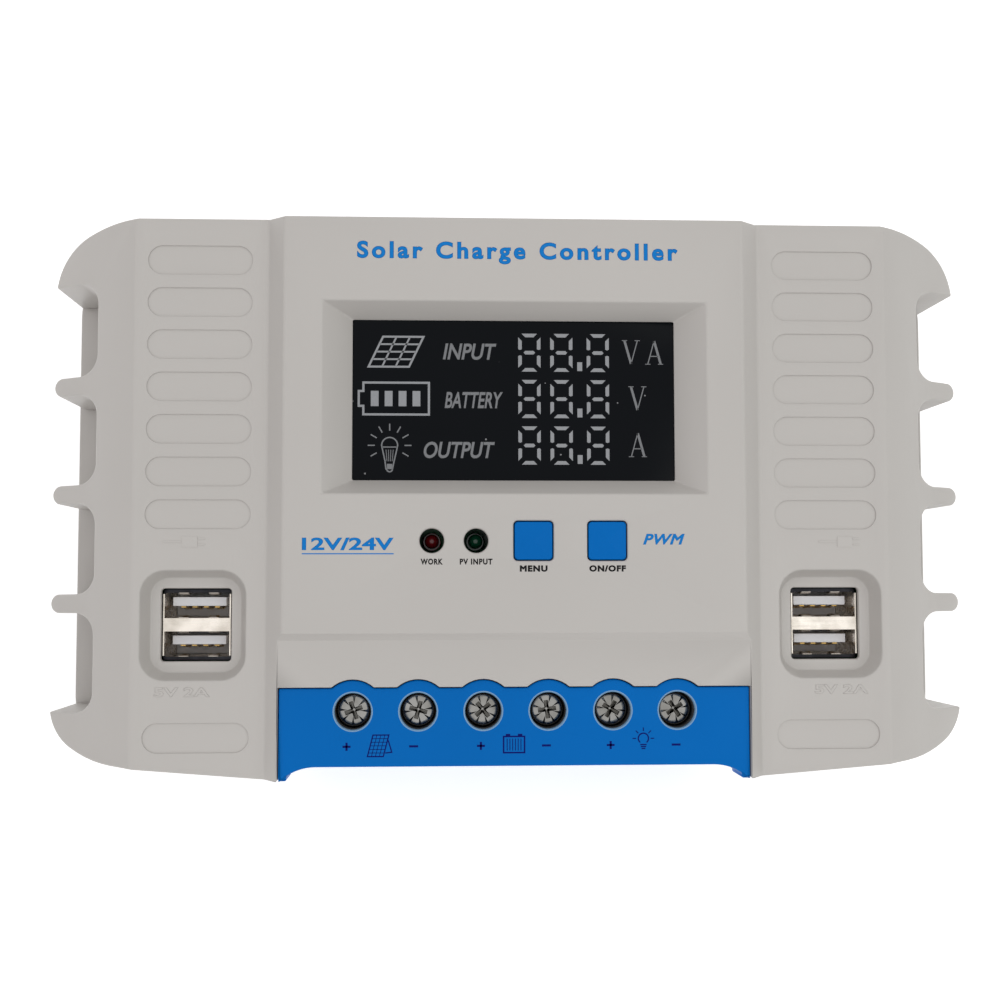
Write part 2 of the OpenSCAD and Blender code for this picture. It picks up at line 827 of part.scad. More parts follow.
module transistors() {
    color(black) for (x = transistor_xs)
        block_at(x, transistor_y + 4.6, 10, 9.2, tab_z + 0.1, tab_z + 4.5);
    color(metal) for (x = transistor_xs) {
        difference() {
            block_at(x, transistor_y + 7.8, 10, 15.6, tab_z, tab_z + 1.3);
            post(x, transistor_y + 12.6, 1.8, tab_z - cut, tab_z + 2);
        }
        for (i = [-1:1]) {
            block_at(x + i * 2.54, transistor_y - 2, 0.8, 4.4, tab_z + 2.4, tab_z + 2.9);
            block_at(x + i * 2.54, transistor_y - 4.2, 0.8, 0.5, tab_z + 2.4, board_top + 1.2);
        }
    }
}

module thermal_pads() {
    color([0.6, 0.62, 0.65]) for (x = transistor_xs) difference() {
        block_at(x, transistor_y + 7.8, 12, 17.6, sink_top, tab_z);
        post(x, transistor_y + 12.6, 1.8, sink_top - cut, tab_z + cut);
    }
}

module transistor_screws() {
    color(metal) for (x = transistor_xs) translate([x, transistor_y + 12.6, tab_z + 1.3])
        pan_screw(2.8, 1.9, 1.45, 3.6);
}

module board_screws() {
    color(metal) for (p = board_posts) translate([p[0], p[1], board_top]) pan_screw(2.9, 2, 1.25, 8);
}

module heat_sink_screws() {
    color(metal) for (x = [-1, 1], y = [-1, 1])
        translate([x * sink_screw_x, sink_y + y * sink_screw_dy, 1.4]) mirror([0, 0, 1])
            pan_screw(2.8, 1.1, 1.45, 3.5);
}

module case_screws() {
    color(metal) for (p = case_screws_at) translate([p[0], p[1], 2]) mirror([0, 0, 1])
        pan_screw(2.9, 1.7, 1.4, 14);
}

top_cover();
terminal_cover();
base_tray();
heat_sink();
display_window();
display_module();
display_board();
display_screws();
board_header();
menu_button();
power_button();
menu_plunger();
power_plunger();
menu_switch();
power_switch();
work_lamp();
input_lamp();
lamp_leads();
main_board();
usb_shell_left();
usb_shell_right();
usb_tongues_left();
usb_tongues_right();
usb_contacts();
terminal_block();
terminal_screw_1();
terminal_screw_2();
terminal_screw_3();
terminal_screw_4();
terminal_screw_5();
terminal_screw_6();
clamp_cage_1();
clamp_cage_2();
clamp_cage_3();
clamp_cage_4();
clamp_cage_5();
clamp_cage_6();
busbars();
capacitors();
inductor_core();
inductor_winding();
blade_fuses();
fuse_clips();
controller_chip();
current_shunts();
transistors();
thermal_pads();
transistor_screws();
board_screws();
heat_sink_screws();
case_screws();
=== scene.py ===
"""Solar charge controller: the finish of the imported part, laid out as an add-on.

The part lies on its back: +X to the right, +Y away from the terminals, +Z out of the front.
Lengths are written in millimetres and turned into metres where a mesh is made.
"""

import math

import bmesh
import bpy
from mathutils import Matrix, Vector


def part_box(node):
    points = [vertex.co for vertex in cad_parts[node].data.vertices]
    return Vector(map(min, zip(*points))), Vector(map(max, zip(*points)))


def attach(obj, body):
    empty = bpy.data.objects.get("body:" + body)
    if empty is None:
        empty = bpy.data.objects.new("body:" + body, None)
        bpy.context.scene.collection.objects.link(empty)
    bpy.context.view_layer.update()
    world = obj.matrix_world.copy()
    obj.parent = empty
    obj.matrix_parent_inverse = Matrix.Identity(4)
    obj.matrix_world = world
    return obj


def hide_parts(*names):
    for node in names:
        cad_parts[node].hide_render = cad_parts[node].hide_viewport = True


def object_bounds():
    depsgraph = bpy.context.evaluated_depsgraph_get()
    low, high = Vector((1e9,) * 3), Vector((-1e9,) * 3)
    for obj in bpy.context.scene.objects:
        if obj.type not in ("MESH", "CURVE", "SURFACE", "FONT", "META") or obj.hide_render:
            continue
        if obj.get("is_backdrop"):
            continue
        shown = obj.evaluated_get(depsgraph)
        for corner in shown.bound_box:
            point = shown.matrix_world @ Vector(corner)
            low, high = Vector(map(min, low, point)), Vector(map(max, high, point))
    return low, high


bl_info = {
    "name": "Solar Charge Controller",
    "version": (1, 0, 0),
    "blender": (4, 5, 0),
    "location": "3D View > Sidebar > Controller",
    "description": "Finishes the packed solar charge controller and sets it on a stage",
    "category": "Object",
}

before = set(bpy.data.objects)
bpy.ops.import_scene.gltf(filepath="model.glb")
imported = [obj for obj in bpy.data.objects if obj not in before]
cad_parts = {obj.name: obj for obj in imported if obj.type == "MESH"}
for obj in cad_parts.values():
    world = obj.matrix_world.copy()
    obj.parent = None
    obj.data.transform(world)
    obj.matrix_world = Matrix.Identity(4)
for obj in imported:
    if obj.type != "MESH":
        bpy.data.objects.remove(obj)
CAD_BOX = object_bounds()

MM = 0.001
CASE = "case"


def centre(node):
    """Middle of a CAD node, in millimetres."""
    low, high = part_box(node)
    return (low + high) / 2 / MM


def top(node):
    """Highest point of a CAD node, in millimetres."""
    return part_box(node)[1].z / MM


def foot(node):
    """Lowest point of a CAD node, in millimetres."""
    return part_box(node)[0].z / MM


def size(node):
    """Size of a CAD node, in millimetres."""
    low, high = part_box(node)
    return (high - low) / MM


def paint(red, green, blue):
    """A colour from its 0 to 255 screen values, as linear light."""
    return tuple(((c / 255 + 0.055) / 1.055) ** 2.4 if c > 10 else c / 255 / 12.92
                 for c in (red, green, blue))


PANEL_TOP = CAD_BOX[1].z / MM - 0.4
COVER_TOP = top("terminal_cover")
WING_TOP = PANEL_TOP - 3.5
SCREEN_TOP = top("display_window")
TERMINALS = range(1, 7)


# ---------- settings ----------

def colour_setting(name, description, default):
    """A colour that the sidebar shows."""
    return bpy.props.FloatVectorProperty(
        name=name, description=description, default=default, subtype="COLOR", size=3, min=0, max=1)


def length_setting(name, description, default, low, high):
    """A length in millimetres that the sidebar shows."""
    return bpy.props.FloatProperty(
        name=name, description=description, default=default, min=low, max=high)


class ControllerColours(bpy.types.PropertyGroup):
    """Colours of the mouldings, the printing and the lamps."""

    housing: colour_setting("Housing", "Warm light grey of the covers", paint(191, 187, 183))
    accent: colour_setting("Accent", "Blue of the terminal cover and the buttons", (0.0, 0.142, 0.5))
    screen: colour_setting("Screen", "Near black of the display", paint(5, 8, 13))
    screen_marks: colour_setting("Screen marks", "Pale grey of the segments", paint(146, 148, 152))
    title: colour_setting("Title", "Blue of the printed title", (0.005, 0.19, 0.58))
    lettering: colour_setting("Lettering", "Black of the small words", paint(10, 10, 12))
    cover_marks: colour_setting("Cover marks", "Navy of the marks on the blue cover", (0.0, 0.004, 0.13))
    work_lamp: colour_setting("Work lamp", "Unlit red lens", paint(96, 14, 20))
    input_lamp: colour_setting("Input lamp", "Unlit green lens", paint(10, 62, 42))


class ControllerDetail(bpy.types.PropertyGroup):
    """Sizes of the fine detail, in millimetres."""

    wide_edge: length_setting("Wide edge", "Rounding of the long front edges, mm", 0.6, 0.2, 1.5)
    fine_edge: length_setting("Fine edge", "Rounding of the other moulded edges, mm", 0.35, 0.05, 0.6)
    pad_edge: length_setting("Pad edge", "Rounding of the pressed pads, mm", 0.07, 0.02, 0.15)
    ink: length_setting("Ink", "Height of the printing over its surface, mm", 0.02, 0.005, 0.1)
    ridges: bpy.props.IntProperty(
        name="Screw ridges", description="Pressed ridges on each terminal screw", default=8, min=3, max=16)


class ControllerStage(bpy.types.PropertyGroup):
    """Floor, lights and camera."""

    floor_width: bpy.props.FloatProperty(
        name="Floor width", description="Side of the square floor", default=12.0, unit="LENGTH")
    side_power: bpy.props.FloatProperty(
        name="Side lights", description="Power of the left and right lights", default=1.9, unit="POWER")
    end_power: bpy.props.FloatProperty(
        name="End lights", description="Power of the far and near lights", default=1.2, unit="POWER")
    above_power: bpy.props.FloatProperty(
        name="Upper light", description="Power of the wide light overhead", default=10.0, unit="POWER")
    sky: bpy.props.FloatProperty(
        name="Sky", description="Brightness of the surroundings", default=0.44, min=0)
    lens: bpy.props.FloatProperty(
        name="Lens", description="Focal length on a 36 mm wide sensor", default=50.32, unit="CAMERA")


# ---------- shader groups and materials ----------

def node_group(kind, name, inputs, outputs):
    """A node group with named inputs and outputs, and its two end nodes."""
    group = bpy.data.node_groups.new(name, kind)
    for label, socket, default in inputs:
        made = group.interface.new_socket(name=label, in_out="INPUT", socket_type=socket)
        if default is not None:
            made.default_value = default
    for label, socket in outputs:
        group.interface.new_socket(name=label, in_out="OUTPUT", socket_type=socket)
    return group, group.nodes.new("NodeGroupInput").outputs, group.nodes.new("NodeGroupOutput").inputs


def add(tree, kind, sockets=None, **settings):
    """A node with its settings made and its sockets filled, each by a value or by another socket."""
    node = tree.nodes.new(kind)
    for key, value in settings.items():
        setattr(node, key, value)
    for key, value in (sockets or {}).items():
        if isinstance(value, bpy.types.NodeSocket):
            tree.links.new(value, node.inputs[key])
        else:
            node.inputs[key].default_value = value
    return node


def mixed_colour(tree, share, first, second, blend="MIX"):
    """The colour output of a Mix node."""
    node = add(tree, "ShaderNodeMix", {"Factor": share}, data_type="RGBA", blend_type=blend)
    for value, socket in ((first, node.inputs[6]), (second, node.inputs[7])):
        if isinstance(value, bpy.types.NodeSocket):
            tree.links.new(value, socket)
        else:
            socket.default_value = value
    return node.outputs[2]


def remap(tree, value, low, high, to_low, to_high):
    """value taken from one range to another."""
    return add(tree, "ShaderNodeMapRange", {
        "Value": value, "From Min": low, "From Max": high, "To Min": to_low, "To Max": to_high}).outputs[0]


SURFACE_OUTPUTS = [("Color", "NodeSocketColor"), ("Roughness", "NodeSocketFloat"),
                   ("Height", "NodeSocketFloat")]


def moulded_group():
    """Moulded plastic: a faint drift of shade, a fine spark-eroded grain and a little handling haze."""
    tree, given, result = node_group("ShaderNodeTree", "Moulded Surface", [
        ("Color", "NodeSocketColor", (0.5, 0.5, 0.5, 1)), ("Drift", "NodeSocketFloat", 0.05),
        ("Grain Scale", "NodeSocketFloat", 2600.0), ("Roughness", "NodeSocketFloat", 0.45),
        ("Haze", "NodeSocketFloat", 0.06)], SURFACE_OUTPUTS)
    place = add(tree, "ShaderNodeTexCoord").outputs["Object"]
    drift = add(tree, "ShaderNodeTexNoise", {"Vector": place, "Scale": 14.0, "Detail": 3.0}).outputs["Fac"]
    grain = add(tree, "ShaderNodeTexNoise", {
        "Vector": place, "Scale": given["Grain Scale"], "Detail": 2.0, "Roughness": 0.6}).outputs["Fac"]
    haze = add(tree, "ShaderNodeTexNoise", {
        "Vector": place, "Scale": 55.0, "Detail": 6.0, "Roughness": 0.65}).outputs["Fac"]
    dark = mixed_colour(tree, given["Drift"], given["Color"], (0.0, 0.0, 0.0, 1))
    shade = mixed_colour(tree, remap(tree, drift, 0.3, 0.7, 0.0, 1.0), dark, given["Color"])
    tree.links.new(shade, result["Color"])
    spread = add(tree, "ShaderNodeMath", {0: remap(tree, haze, 0.35, 0.65, -1.0, 1.0), 1: given["Haze"],
                                          2: given["Roughness"]}, operation="MULTIPLY_ADD").outputs[0]
    tree.links.new(spread, result["Roughness"])
    tree.links.new(grain, result["Height"])
    return tree


def metal_group():
    """Worked metal: long fine scratches along one direction over a slow change of tone."""
    tree, given, result = node_group("ShaderNodeTree", "Worked Metal", [
        ("Color", "NodeSocketColor", (0.7, 0.7, 0.7, 1)),
        ("Stretch", "NodeSocketVector", (2500.0, 60.0, 2500.0)),
        ("Roughness", "NodeSocketFloat", 0.25), ("Scratch", "NodeSocketFloat", 0.12)], SURFACE_OUTPUTS)
    place = add(tree, "ShaderNodeTexCoord").outputs["Object"]
    drawn = add(tree, "ShaderNodeVectorMath", {0: place, 1: given["Stretch"]},
                operation="MULTIPLY").outputs[0]
    line = add(tree, "ShaderNodeTexNoise", {"Vector": drawn, "Scale": 1.0, "Detail": 3.0}).outputs["Fac"]
    tone = add(tree, "ShaderNodeTexNoise", {"Vector": place, "Scale": 260.0, "Detail": 4.0}).outputs["Fac"]
    dull = mixed_colour(tree, 1.0, given["Color"], (0.72, 0.71, 0.69, 1), "MULTIPLY")
    tree.links.new(mixed_colour(tree, remap(tree, tone, 0.35, 0.65, 0.0, 1.0), dull, given["Color"]),
                   result["Color"])
    rough = add(tree, "ShaderNodeMath", {0: remap(tree, line, 0.3, 0.7, -1.0, 1.0), 1: given["Scratch"],
                                         2: given["Roughness"]}, operation="MULTIPLY_ADD").outputs[0]
    tree.links.new(rough, result["Roughness"])
    tree.links.new(line, result["Height"])
    return tree


def dust_group():
    """Loose specks: a mask that is 1 on small scattered grains."""
    tree, given, result = node_group("ShaderNodeTree", "Dust Specks", [
        ("Scale", "NodeSocketFloat", 1100.0), ("Amount", "NodeSocketFloat", 0.05)],
        [("Mask", "NodeSocketFloat")])
    place = add(tree, "ShaderNodeTexCoord").outputs["Object"]
    cells = add(tree, "ShaderNodeTexVoronoi", {"Vector": place, "Scale": given["Scale"]})
    pick = add(tree, "ShaderNodeTexWhiteNoise", {"Vector": cells.outputs["Position"]}, noise_dimensions="3D")
    chosen = add(tree, "ShaderNodeMath", {0: pick.outputs["Value"], 1: given["Amount"]},
                 operation="LESS_THAN")
    round_grain = add(tree, "ShaderNodeMath", {0: cells.outputs["Distance"], 1: 0.2}, operation="LESS_THAN")
    mask = add(tree, "ShaderNodeMath", {0: chosen.outputs[0], 1: round_grain.outputs[0]},
               operation="MULTIPLY")
    tree.links.new(mask.outputs[0], result["Mask"])
    return tree


GROUPS = {"moulded": moulded_group(), "metal": metal_group(), "dust": dust_group()}


def finish(name, group, values, bump, dust=0.0, **principled):
    """A material: one surface group into a Principled BSDF, with its height as bump and a little dust."""
    made = bpy.data.materials.new(name)
    made.use_nodes = True
    tree = made.node_tree
    tree.nodes.clear()
    surface = add(tree, "ShaderNodeGroup", node_tree=GROUPS[group])
    for key, value in values.items():
        surface.inputs[key].default_value = (*value, 1) if key == "Color" else value
    bumps = add(tree, "ShaderNodeBump", {
        "Height": surface.outputs["Height"], "Strength": 1.0, "Distance": bump * MM})
    colour, rough = surface.outputs["Color"], surface.outputs["Roughness"]
    if dust:
        specks = add(tree, "ShaderNodeGroup", node_tree=GROUPS["dust"])
        specks.inputs["Amount"].default_value = dust
        colour = mixed_colour(tree, specks.outputs["Mask"], colour, (0.25, 0.25, 0.26, 1))
        rough = add(tree, "ShaderNodeMath", {0: rough, 1: specks.outputs["Mask"]}, operation="ADD",
                    use_clamp=True).outputs[0]
    sockets = {key.replace("_", " ").title().replace("Ior", "IOR"): value
               for key, value in principled.items()}
    shader = add(tree, "ShaderNodeBsdfPrincipled", {
        **sockets, "Base Color": colour, "Roughness": rough, "Normal": bumps.outputs[0]})
    output = add(tree, "ShaderNodeOutputMaterial")
    tree.links.new(shader.outputs[0], output.inputs[0])
    made.diffuse_color = (*values["Color"], 1)
    return made


def plastic(name, colour, rough=0.45, grain=0.004, drift=0.05, haze=0.06, scale=2600.0, **principled):
    """A moulded, printed or lacquered surface."""
    return finish(name, "moulded", {"Color": colour, "Drift": drift, "Grain Scale": scale, "Roughness": rough,
                                    "Haze": haze}, grain, **principled)


def metal(name, colour, rough=0.25, scratch=0.12, stretch=(2500.0, 60.0, 2500.0), bump=0.002):
    """A plated or worked metal, with its scratches shortest where stretch is largest."""
    return finish(name, "metal",
                  {"Color": colour, "Stretch": stretch, "Roughness": rough, "Scratch": scratch},
                  bump, metallic=1.0)


def board_material():
    """Green solder mask with traces showing through, and tinned lands."""
    made = plastic("Solder Mask", paint(10, 72, 42), rough=0.3, drift=0.15)
    tree = made.node_tree
    shader = next(n for n in tree.nodes if n.type == "BSDF_PRINCIPLED")
    mask_colour = shader.inputs["Base Color"].links[0].from_socket
    place = add(tree, "ShaderNodeTexCoord").outputs["Object"]
    cells = add(tree, "ShaderNodeTexVoronoi", {"Vector": place, "Scale": 240.0, "Randomness": 0.75},
                feature="DISTANCE_TO_EDGE")
    line = add(tree, "ShaderNodeMath", {0: cells.outputs["Distance"], 1: 0.09},
               operation="LESS_THAN").outputs[0]
    lighter = mixed_colour(tree, 1.0, mask_colour, (2.0, 2.0, 1.8, 1), "MULTIPLY")
    traced = mixed_colour(tree, line, mask_colour, lighter)
    tree.links.new(traced, shader.inputs["Base Color"])
    return made


def make_materials(colours):
    """Every material of the object, by a short name."""
    steel = paint(160, 159, 156)
    return {
        "housing": plastic("Grey Moulding", colours.housing, rough=0.46),
        "accent": plastic("Blue Moulding", colours.accent, rough=0.4, grain=0.002, drift=0.1,
                          specular_ior_level=0.06),
        # rim: pale blue painted highlight for the bevelled edges round the terminal cover's screw holes
        "rim": plastic("Pale Blue Painted Highlight", paint(120, 160, 196), rough=0.4),
        "screen": plastic("Screen", colours.screen, rough=0.16, grain=0.0, haze=0.04, dust=0.012,
                          specular_ior_level=0.08),
        "screen_marks": plastic("Screen Marks", colours.screen_marks, rough=0.3, drift=0.12),
        "faint_marks": plastic("Faint Screen Marks", tuple(0.6 * c for c in colours.screen_marks), rough=0.3),
        "title": plastic("Title Ink", colours.title, rough=0.5, specular_ior_level=0.1),
        "lettering": plastic("Black Ink", colours.lettering, rough=0.5, specular_ior_level=0.2),
        "cover_marks": plastic("Navy Ink", colours.cover_marks, rough=0.5, specular_ior_level=0.1),
        "red_lens": plastic("Red Lens", colours.work_lamp, rough=0.12, grain=0.0, coat_weight=0.2),
        "green_lens": plastic("Green Lens", colours.input_lamp, rough=0.12, grain=0.0, coat_weight=0.2),
        "black": plastic("Black Moulding", paint(30, 30, 32), rough=0.5, grain=0.006),
        "white": plastic("White Moulding", paint(222, 222, 226), rough=0.42),
        "board": board_material(),
        "sleeve": plastic("Capacitor Sleeve", paint(34, 40, 84), rough=0.3, drift=0.1),
        "fuse": plastic("Fuse Plastic", paint(40, 150, 70), rough=0.2, transmission_weight=0.4),
        "core": plastic("Core Lacquer", paint(205, 178, 60), rough=0.4, grain=0.01, scale=900.0),
        "sheet": plastic("Thermal Sheet", paint(150, 156, 166), rough=0.7, grain=0.01, scale=1200.0),
        "zinc": metal("Bright Zinc", steel, rough=0.15, scratch=0.08, stretch=(900.0, 900.0, 900.0)),
        "nickel": metal("Nickel Plate", paint(244, 236, 226), rough=0.28, stretch=(60.0, 1600.0, 900.0),
                        bump=0.0004),
        # Black oxide of the case screws; also painted shadow on the cut edges at the USB shells' mouths
        "dark_steel": metal("Black Oxide", paint(52, 52, 56), rough=0.4, stretch=(900.0, 900.0, 900.0)),
        "aluminium": metal("Extruded Aluminium", paint(205, 206, 209), rough=0.36, scratch=0.14),
        "tin": metal("Tinned Copper", paint(206, 198, 184), rough=0.32, stretch=(900.0, 900.0, 900.0)),
        "gold": metal("Gold Plate", paint(226, 186, 110), rough=0.22, stretch=(900.0, 900.0, 900.0)),
        "copper": metal("Enamelled Copper", paint(196, 104, 56), rough=0.3, stretch=(900.0, 900.0, 900.0)),
    }


MATERIALS = {}


# ---------- meshes ----------

def piece_from(bm, name, *materials):
    """A new object from a bmesh that is in millimetres, at the origin."""
    bmesh.ops.scale(bm, vec=(MM, MM, MM), verts=bm.verts)
    mesh = bpy.data.meshes.new(name)
    bm.to_mesh(mesh)
    bm.free()
    for key in materials:
        mesh.materials.append(MATERIALS[key])
    piece = bpy.data.objects.new(name, mesh)
    bpy.context.scene.collection.objects.link(piece)
    return piece


def shade(piece, angle=32):
    """Smooth shading that stays crisp where faces meet at more than angle degrees."""
    piece.data.shade_smooth()
    piece.data.set_sharp_from_angle(angle=math.radians(angle))


def settle(piece, sharp=None):
    """Turns a piece with live modifiers into a plain mesh."""
    bpy.context.view_layer.update()
    graph = bpy.context.evaluated_depsgraph_get()
    mesh = bpy.data.meshes.new_from_object(piece.evaluated_get(graph))
    piece.modifiers.clear()
    piece.data = mesh
    if sharp is not None:
        shade(piece, sharp)
    return piece


def mount(piece, body, slot, *nodes):
    """The piece rides on a body and stands for the CAD nodes named; slot is not used."""
    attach(piece, body)
    if nodes:
        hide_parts(*nodes)
    return piece


def merged(node):
    """A copy of a CAD node's mesh in millimetres, with its doubles merged."""
    bm = bmesh.new()
    bm.from_mesh(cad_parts[node].data)
    bmesh.ops.remove_doubles(bm, verts=bm.verts, dist=0.003 * MM)
    bmesh.ops.scale(bm, vec=(1 / MM,) * 3, verts=bm.verts)
    return bm


SHARP = math.radians(17)


def sharp_edges(bm):
    """Edges whose two faces meet at more than the sharp angle."""
    return [e for e in bm.edges if len(e.link_faces) == 2 and e.calc_face_angle(0) > SHARP]


def bend_limit(vertex, sharp):
    """The widest rounding that still fits where a line of sharp edges bends at a vertex."""
    ends = [e for e in vertex.link_edges if e in sharp]
    if len(ends) != 2:
        return math.inf
    into, out = (e.other_vert(vertex).co - vertex.co for e in ends)
    turn = math.pi - into.angle(out, math.pi)
    return math.inf if turn < 0.02 else 0.4 * (into.length + out.length) / turn


def softened(node, name, body, slot, materials, radius, widest=None, segments=3):
    """A CAD node with rounded edges. radius(middle, along, angle) gives an edge's rounding in millimetres."""
    bm = merged(node)
    widest = widest or radius(Vector(), Vector(), 90)
    layer = bm.edges.layers.float.new("bevel_weight_edge")
    edges = set(sharp_edges(bm))
    limit = {v: bend_limit(v, edges) for e in edges for v in e.verts}
    for edge in edges:
        one, other = edge.verts
        along, angle = (other.co - one.co).normalized(), math.degrees(edge.calc_face_angle())
        wanted = radius((one.co + other.co) / 2, along, angle)
        edge[layer] = min(1, min(wanted, limit[one], limit[other]) / widest)
    piece = piece_from(bm, name, *materials)
    bevel = piece.modifiers.new("Rounded Edges", "BEVEL")
    bevel.limit_method = "WEIGHT"
    bevel.width = widest * MM
    bevel.segments = segments
    bevel.use_clamp_overlap = False
    bevel.loop_slide = False
    bevel.harden_normals = True
    piece.data.shade_smooth()
    settle(piece)
    return mount(piece, body, slot, node)


def even(radius):
    """The same rounding on every edge."""
    return lambda middle, along, angle: radius


def spun(profile, name, x, y, materials, steps=48):
    """A closed turned piece about an upright axis at x, y. profile starts and ends on the axis."""
    bm = bmesh.new()
    rings = []
    for r, z in profile:
        if r < 1e-6:
            rings.append([bm.verts.new((x, y, z))])
        else:
            rings.append([bm.verts.new((x + r * math.cos(a), y + r * math.sin(a), z))
                          for a in (2 * math.pi * i / steps for i in range(steps))])
    for low, high in zip(rings, rings[1:]):
        for i in range(steps):
            j = (i + 1) % steps
            corners = [low[i % len(low)], low[j % len(low)], high[j % len(high)], high[i % len(high)]]
            bm.faces.new(list(dict.fromkeys(corners)))
    bmesh.ops.recalc_face_normals(bm, faces=bm.faces)
    return piece_from(bm, name, *materials)


def box_in(bm, low, high):
    """A closed box between two corners, added to bm."""
    made = bmesh.ops.create_cube(bm, size=1)["verts"]
    low, high = Vector(low), Vector(high)
    bmesh.ops.scale(bm, vec=high - low, verts=made)
    bmesh.ops.translate(bm, vec=(low + high) / 2, verts=made)
    return made


def loft(bm, rings):
    """A closed skin over rings of equally many points, added to bm."""
    made = [[bm.verts.new(point) for point in ring] for ring in rings]
    for low, high in zip(made, made[1:]):
        for i in range(len(low)):
            j = (i + 1) % len(low)
            bm.faces.new([low[i], low[j], high[j], high[i]])
    bm.faces.new(made[0])
    bm.faces.new(made[-1])
    bmesh.ops.recalc_face_normals(bm, faces=bm.faces)


def cut(piece, cutter):
    """Takes the cutter's volume out of the piece, and removes the cutter."""
    difference = piece.modifiers.new("Cut", "BOOLEAN")
    difference.operation = "DIFFERENCE"
    difference.solver = "EXACT"
    difference.object = cutter
    settle(piece)
    bpy.data.objects.remove(cutter)


# ---------- flat marks ----------

def ribbon(points, width, closed=False):
    """Four-cornered outlines that follow a line of points, mitred where it bends."""
    count = len(points)
    pairs = []
    for i, (x, y) in enumerate(points):
        before = points[i - 1] if closed or i else None
        after = points[(i + 1) % count] if closed or i + 1 < count else None
        into = Vector((x - before[0], y - before[1])).normalized() if before else None
        out = Vector((after[0] - x, after[1] - y)).normalized() if after else None
        into, out = into or out, out or into
        side = Vector((-(into.y + out.y), into.x + out.x)).normalized()
        reach = width / 2 / max(0.3, side.dot(Vector((-out.y, out.x))))
        pairs.append(((x - side.x * reach, y - side.y * reach), (x + side.x * reach, y + side.y * reach)))
    steps = range(count if closed else count - 1)
    return [[pairs[i][0], pairs[(i + 1) % count][0], pairs[(i + 1) % count][1], pairs[i][1]] for i in steps]


def bar(x, y, width, height):
    """A rectangle's outline about its middle."""
    return [(x - width / 2, y - height / 2), (x + width / 2, y - height / 2),
            (x + width / 2, y + height / 2), (x - width / 2, y + height / 2)]


def arc(x, y, r, start, end, steps=12):
    """Points along an arc, with its angles in degrees."""
    return [(x + r * math.cos(math.radians(start + (end - start) * i / steps)),
             y + r * math.sin(math.radians(start + (end - start) * i / steps))) for i in range(steps + 1)]


def flat_mesh(outlines, surface, height):
    """A bmesh of thin closed plates that stand height over a surface, one for each outline."""
    bm = bmesh.new()
    for outline in outlines:
        turn = sum(a[0] * b[1] - b[0] * a[1] for a, b in zip(outline, outline[1:] + outline[:1]))
        around = outline if turn > 0 else outline[::-1]
        low = [bm.verts.new((x, y, surface - height / 2)) for x, y in around]
        high = [bm.verts.new((x, y, surface + height)) for x, y in around]
        bm.faces.new(low[::-1])
        bm.faces.new(high)
        for i in range(len(around)):
            j = (i + 1) % len(around)
            bm.faces.new([low[i], low[j], high[j], high[i]])
    return bm


def printed(name, outlines, surface, material, slot, height):
    """Ink on a surface of the case."""
    return mount(piece_from(flat_mesh(outlines, surface, height), name, material), CASE, slot)


def letters_mesh(text, weight, slant, spacing):
    """The built-in letters as a mesh, made bolder by weight."""
    curve = bpy.data.curves.new("letters", "FONT")
    curve.body, curve.bevel_depth, curve.shear, curve.space_character = text, weight, slant, spacing
    curve.bevel_resolution = 0
    curve.resolution_u = 6
    holder = bpy.data.objects.new("letters", curve)
    bpy.context.scene.collection.objects.link(holder)
    bpy.context.view_layer.update()
    mesh = bpy.data.meshes.new_from_object(holder.evaluated_get(bpy.context.evaluated_depsgraph_get()))
    bpy.data.objects.remove(holder)
    return mesh


def words(name, text, left, right, baseline, cap, surface, material, slot, height, weight=0.004, slant=0.0,
          spacing=1.0):
    """A line of lettering fitted between left and right, standing on its baseline, with capitals cap high."""
    capital = max(v.co.y for v in letters_mesh("H", weight, slant, spacing).vertices)
    bm = bmesh.new()
    bm.from_mesh(letters_mesh(text, weight, slant, spacing))
    bmesh.ops.remove_doubles(bm, verts=bm.verts, dist=1e-4)
    start, end = min(v.co.x for v in bm.verts), max(v.co.x for v in bm.verts)
    wide = (right - left) / (end - start)
    for vertex in bm.verts:
        x, y, z = vertex.co
        vertex.co = (left + (x - start) * wide, baseline + (y + weight) * cap / (capital + weight),
                     surface + height * (0.25 + 0.75 * z / weight))
    return mount(piece_from(bm, name, material), CASE, slot)


# ---------- geometry node trees ----------

def feed(piece, tree, **values):
    """Adds a tree to a piece and fills its named inputs, before it is first evaluated."""
    modifier = piece.modifiers.new(tree.name, "NODES")
    modifier.node_group = tree
    for item in tree.interface.items_tree:
        key = item.name.lower().replace(" ", "_")
        if item.in_out == "INPUT" and key in values:
            modifier[item.identifier] = values[key]
    return piece


def last_steps(tree, geometry, material, result):
    """Realize Instances and Set Material, which end every tree."""
    real = add(tree, "GeometryNodeRealizeInstances", {"Geometry": geometry})
    coated = add(tree, "GeometryNodeSetMaterial", {"Geometry": real.outputs[0], "Material": material})
    tree.links.new(coated.outputs[0], result["Geometry"])


def instances(tree, points, shape, turn=None):
    """shape on every point."""
    sockets = {"Points": points, "Instance": shape}
    if turn is not None:
        sockets["Rotation"] = turn
    return add(tree, "GeometryNodeInstanceOnPoints", sockets).outputs[0]


def maths(tree, operation, *values):
    """The output of a Math node."""
    return add(tree, "ShaderNodeMath", dict(enumerate(values)), operation=operation).outputs[0]


def vector(tree, x=0.0, y=0.0, z=0.0):
    """A vector made of three values or sockets."""
    return add(tree, "ShaderNodeCombineXYZ", {"X": x, "Y": y, "Z": z}).outputs[0]


def moved(tree, geometry, **sockets):
    """geometry with a translation, rotation or scale."""
    return add(tree, "GeometryNodeTransform", {"Geometry": geometry, **{
        k.title(): v for k, v in sockets.items()}}).outputs[0]


LENGTH = "NodeSocketFloat"


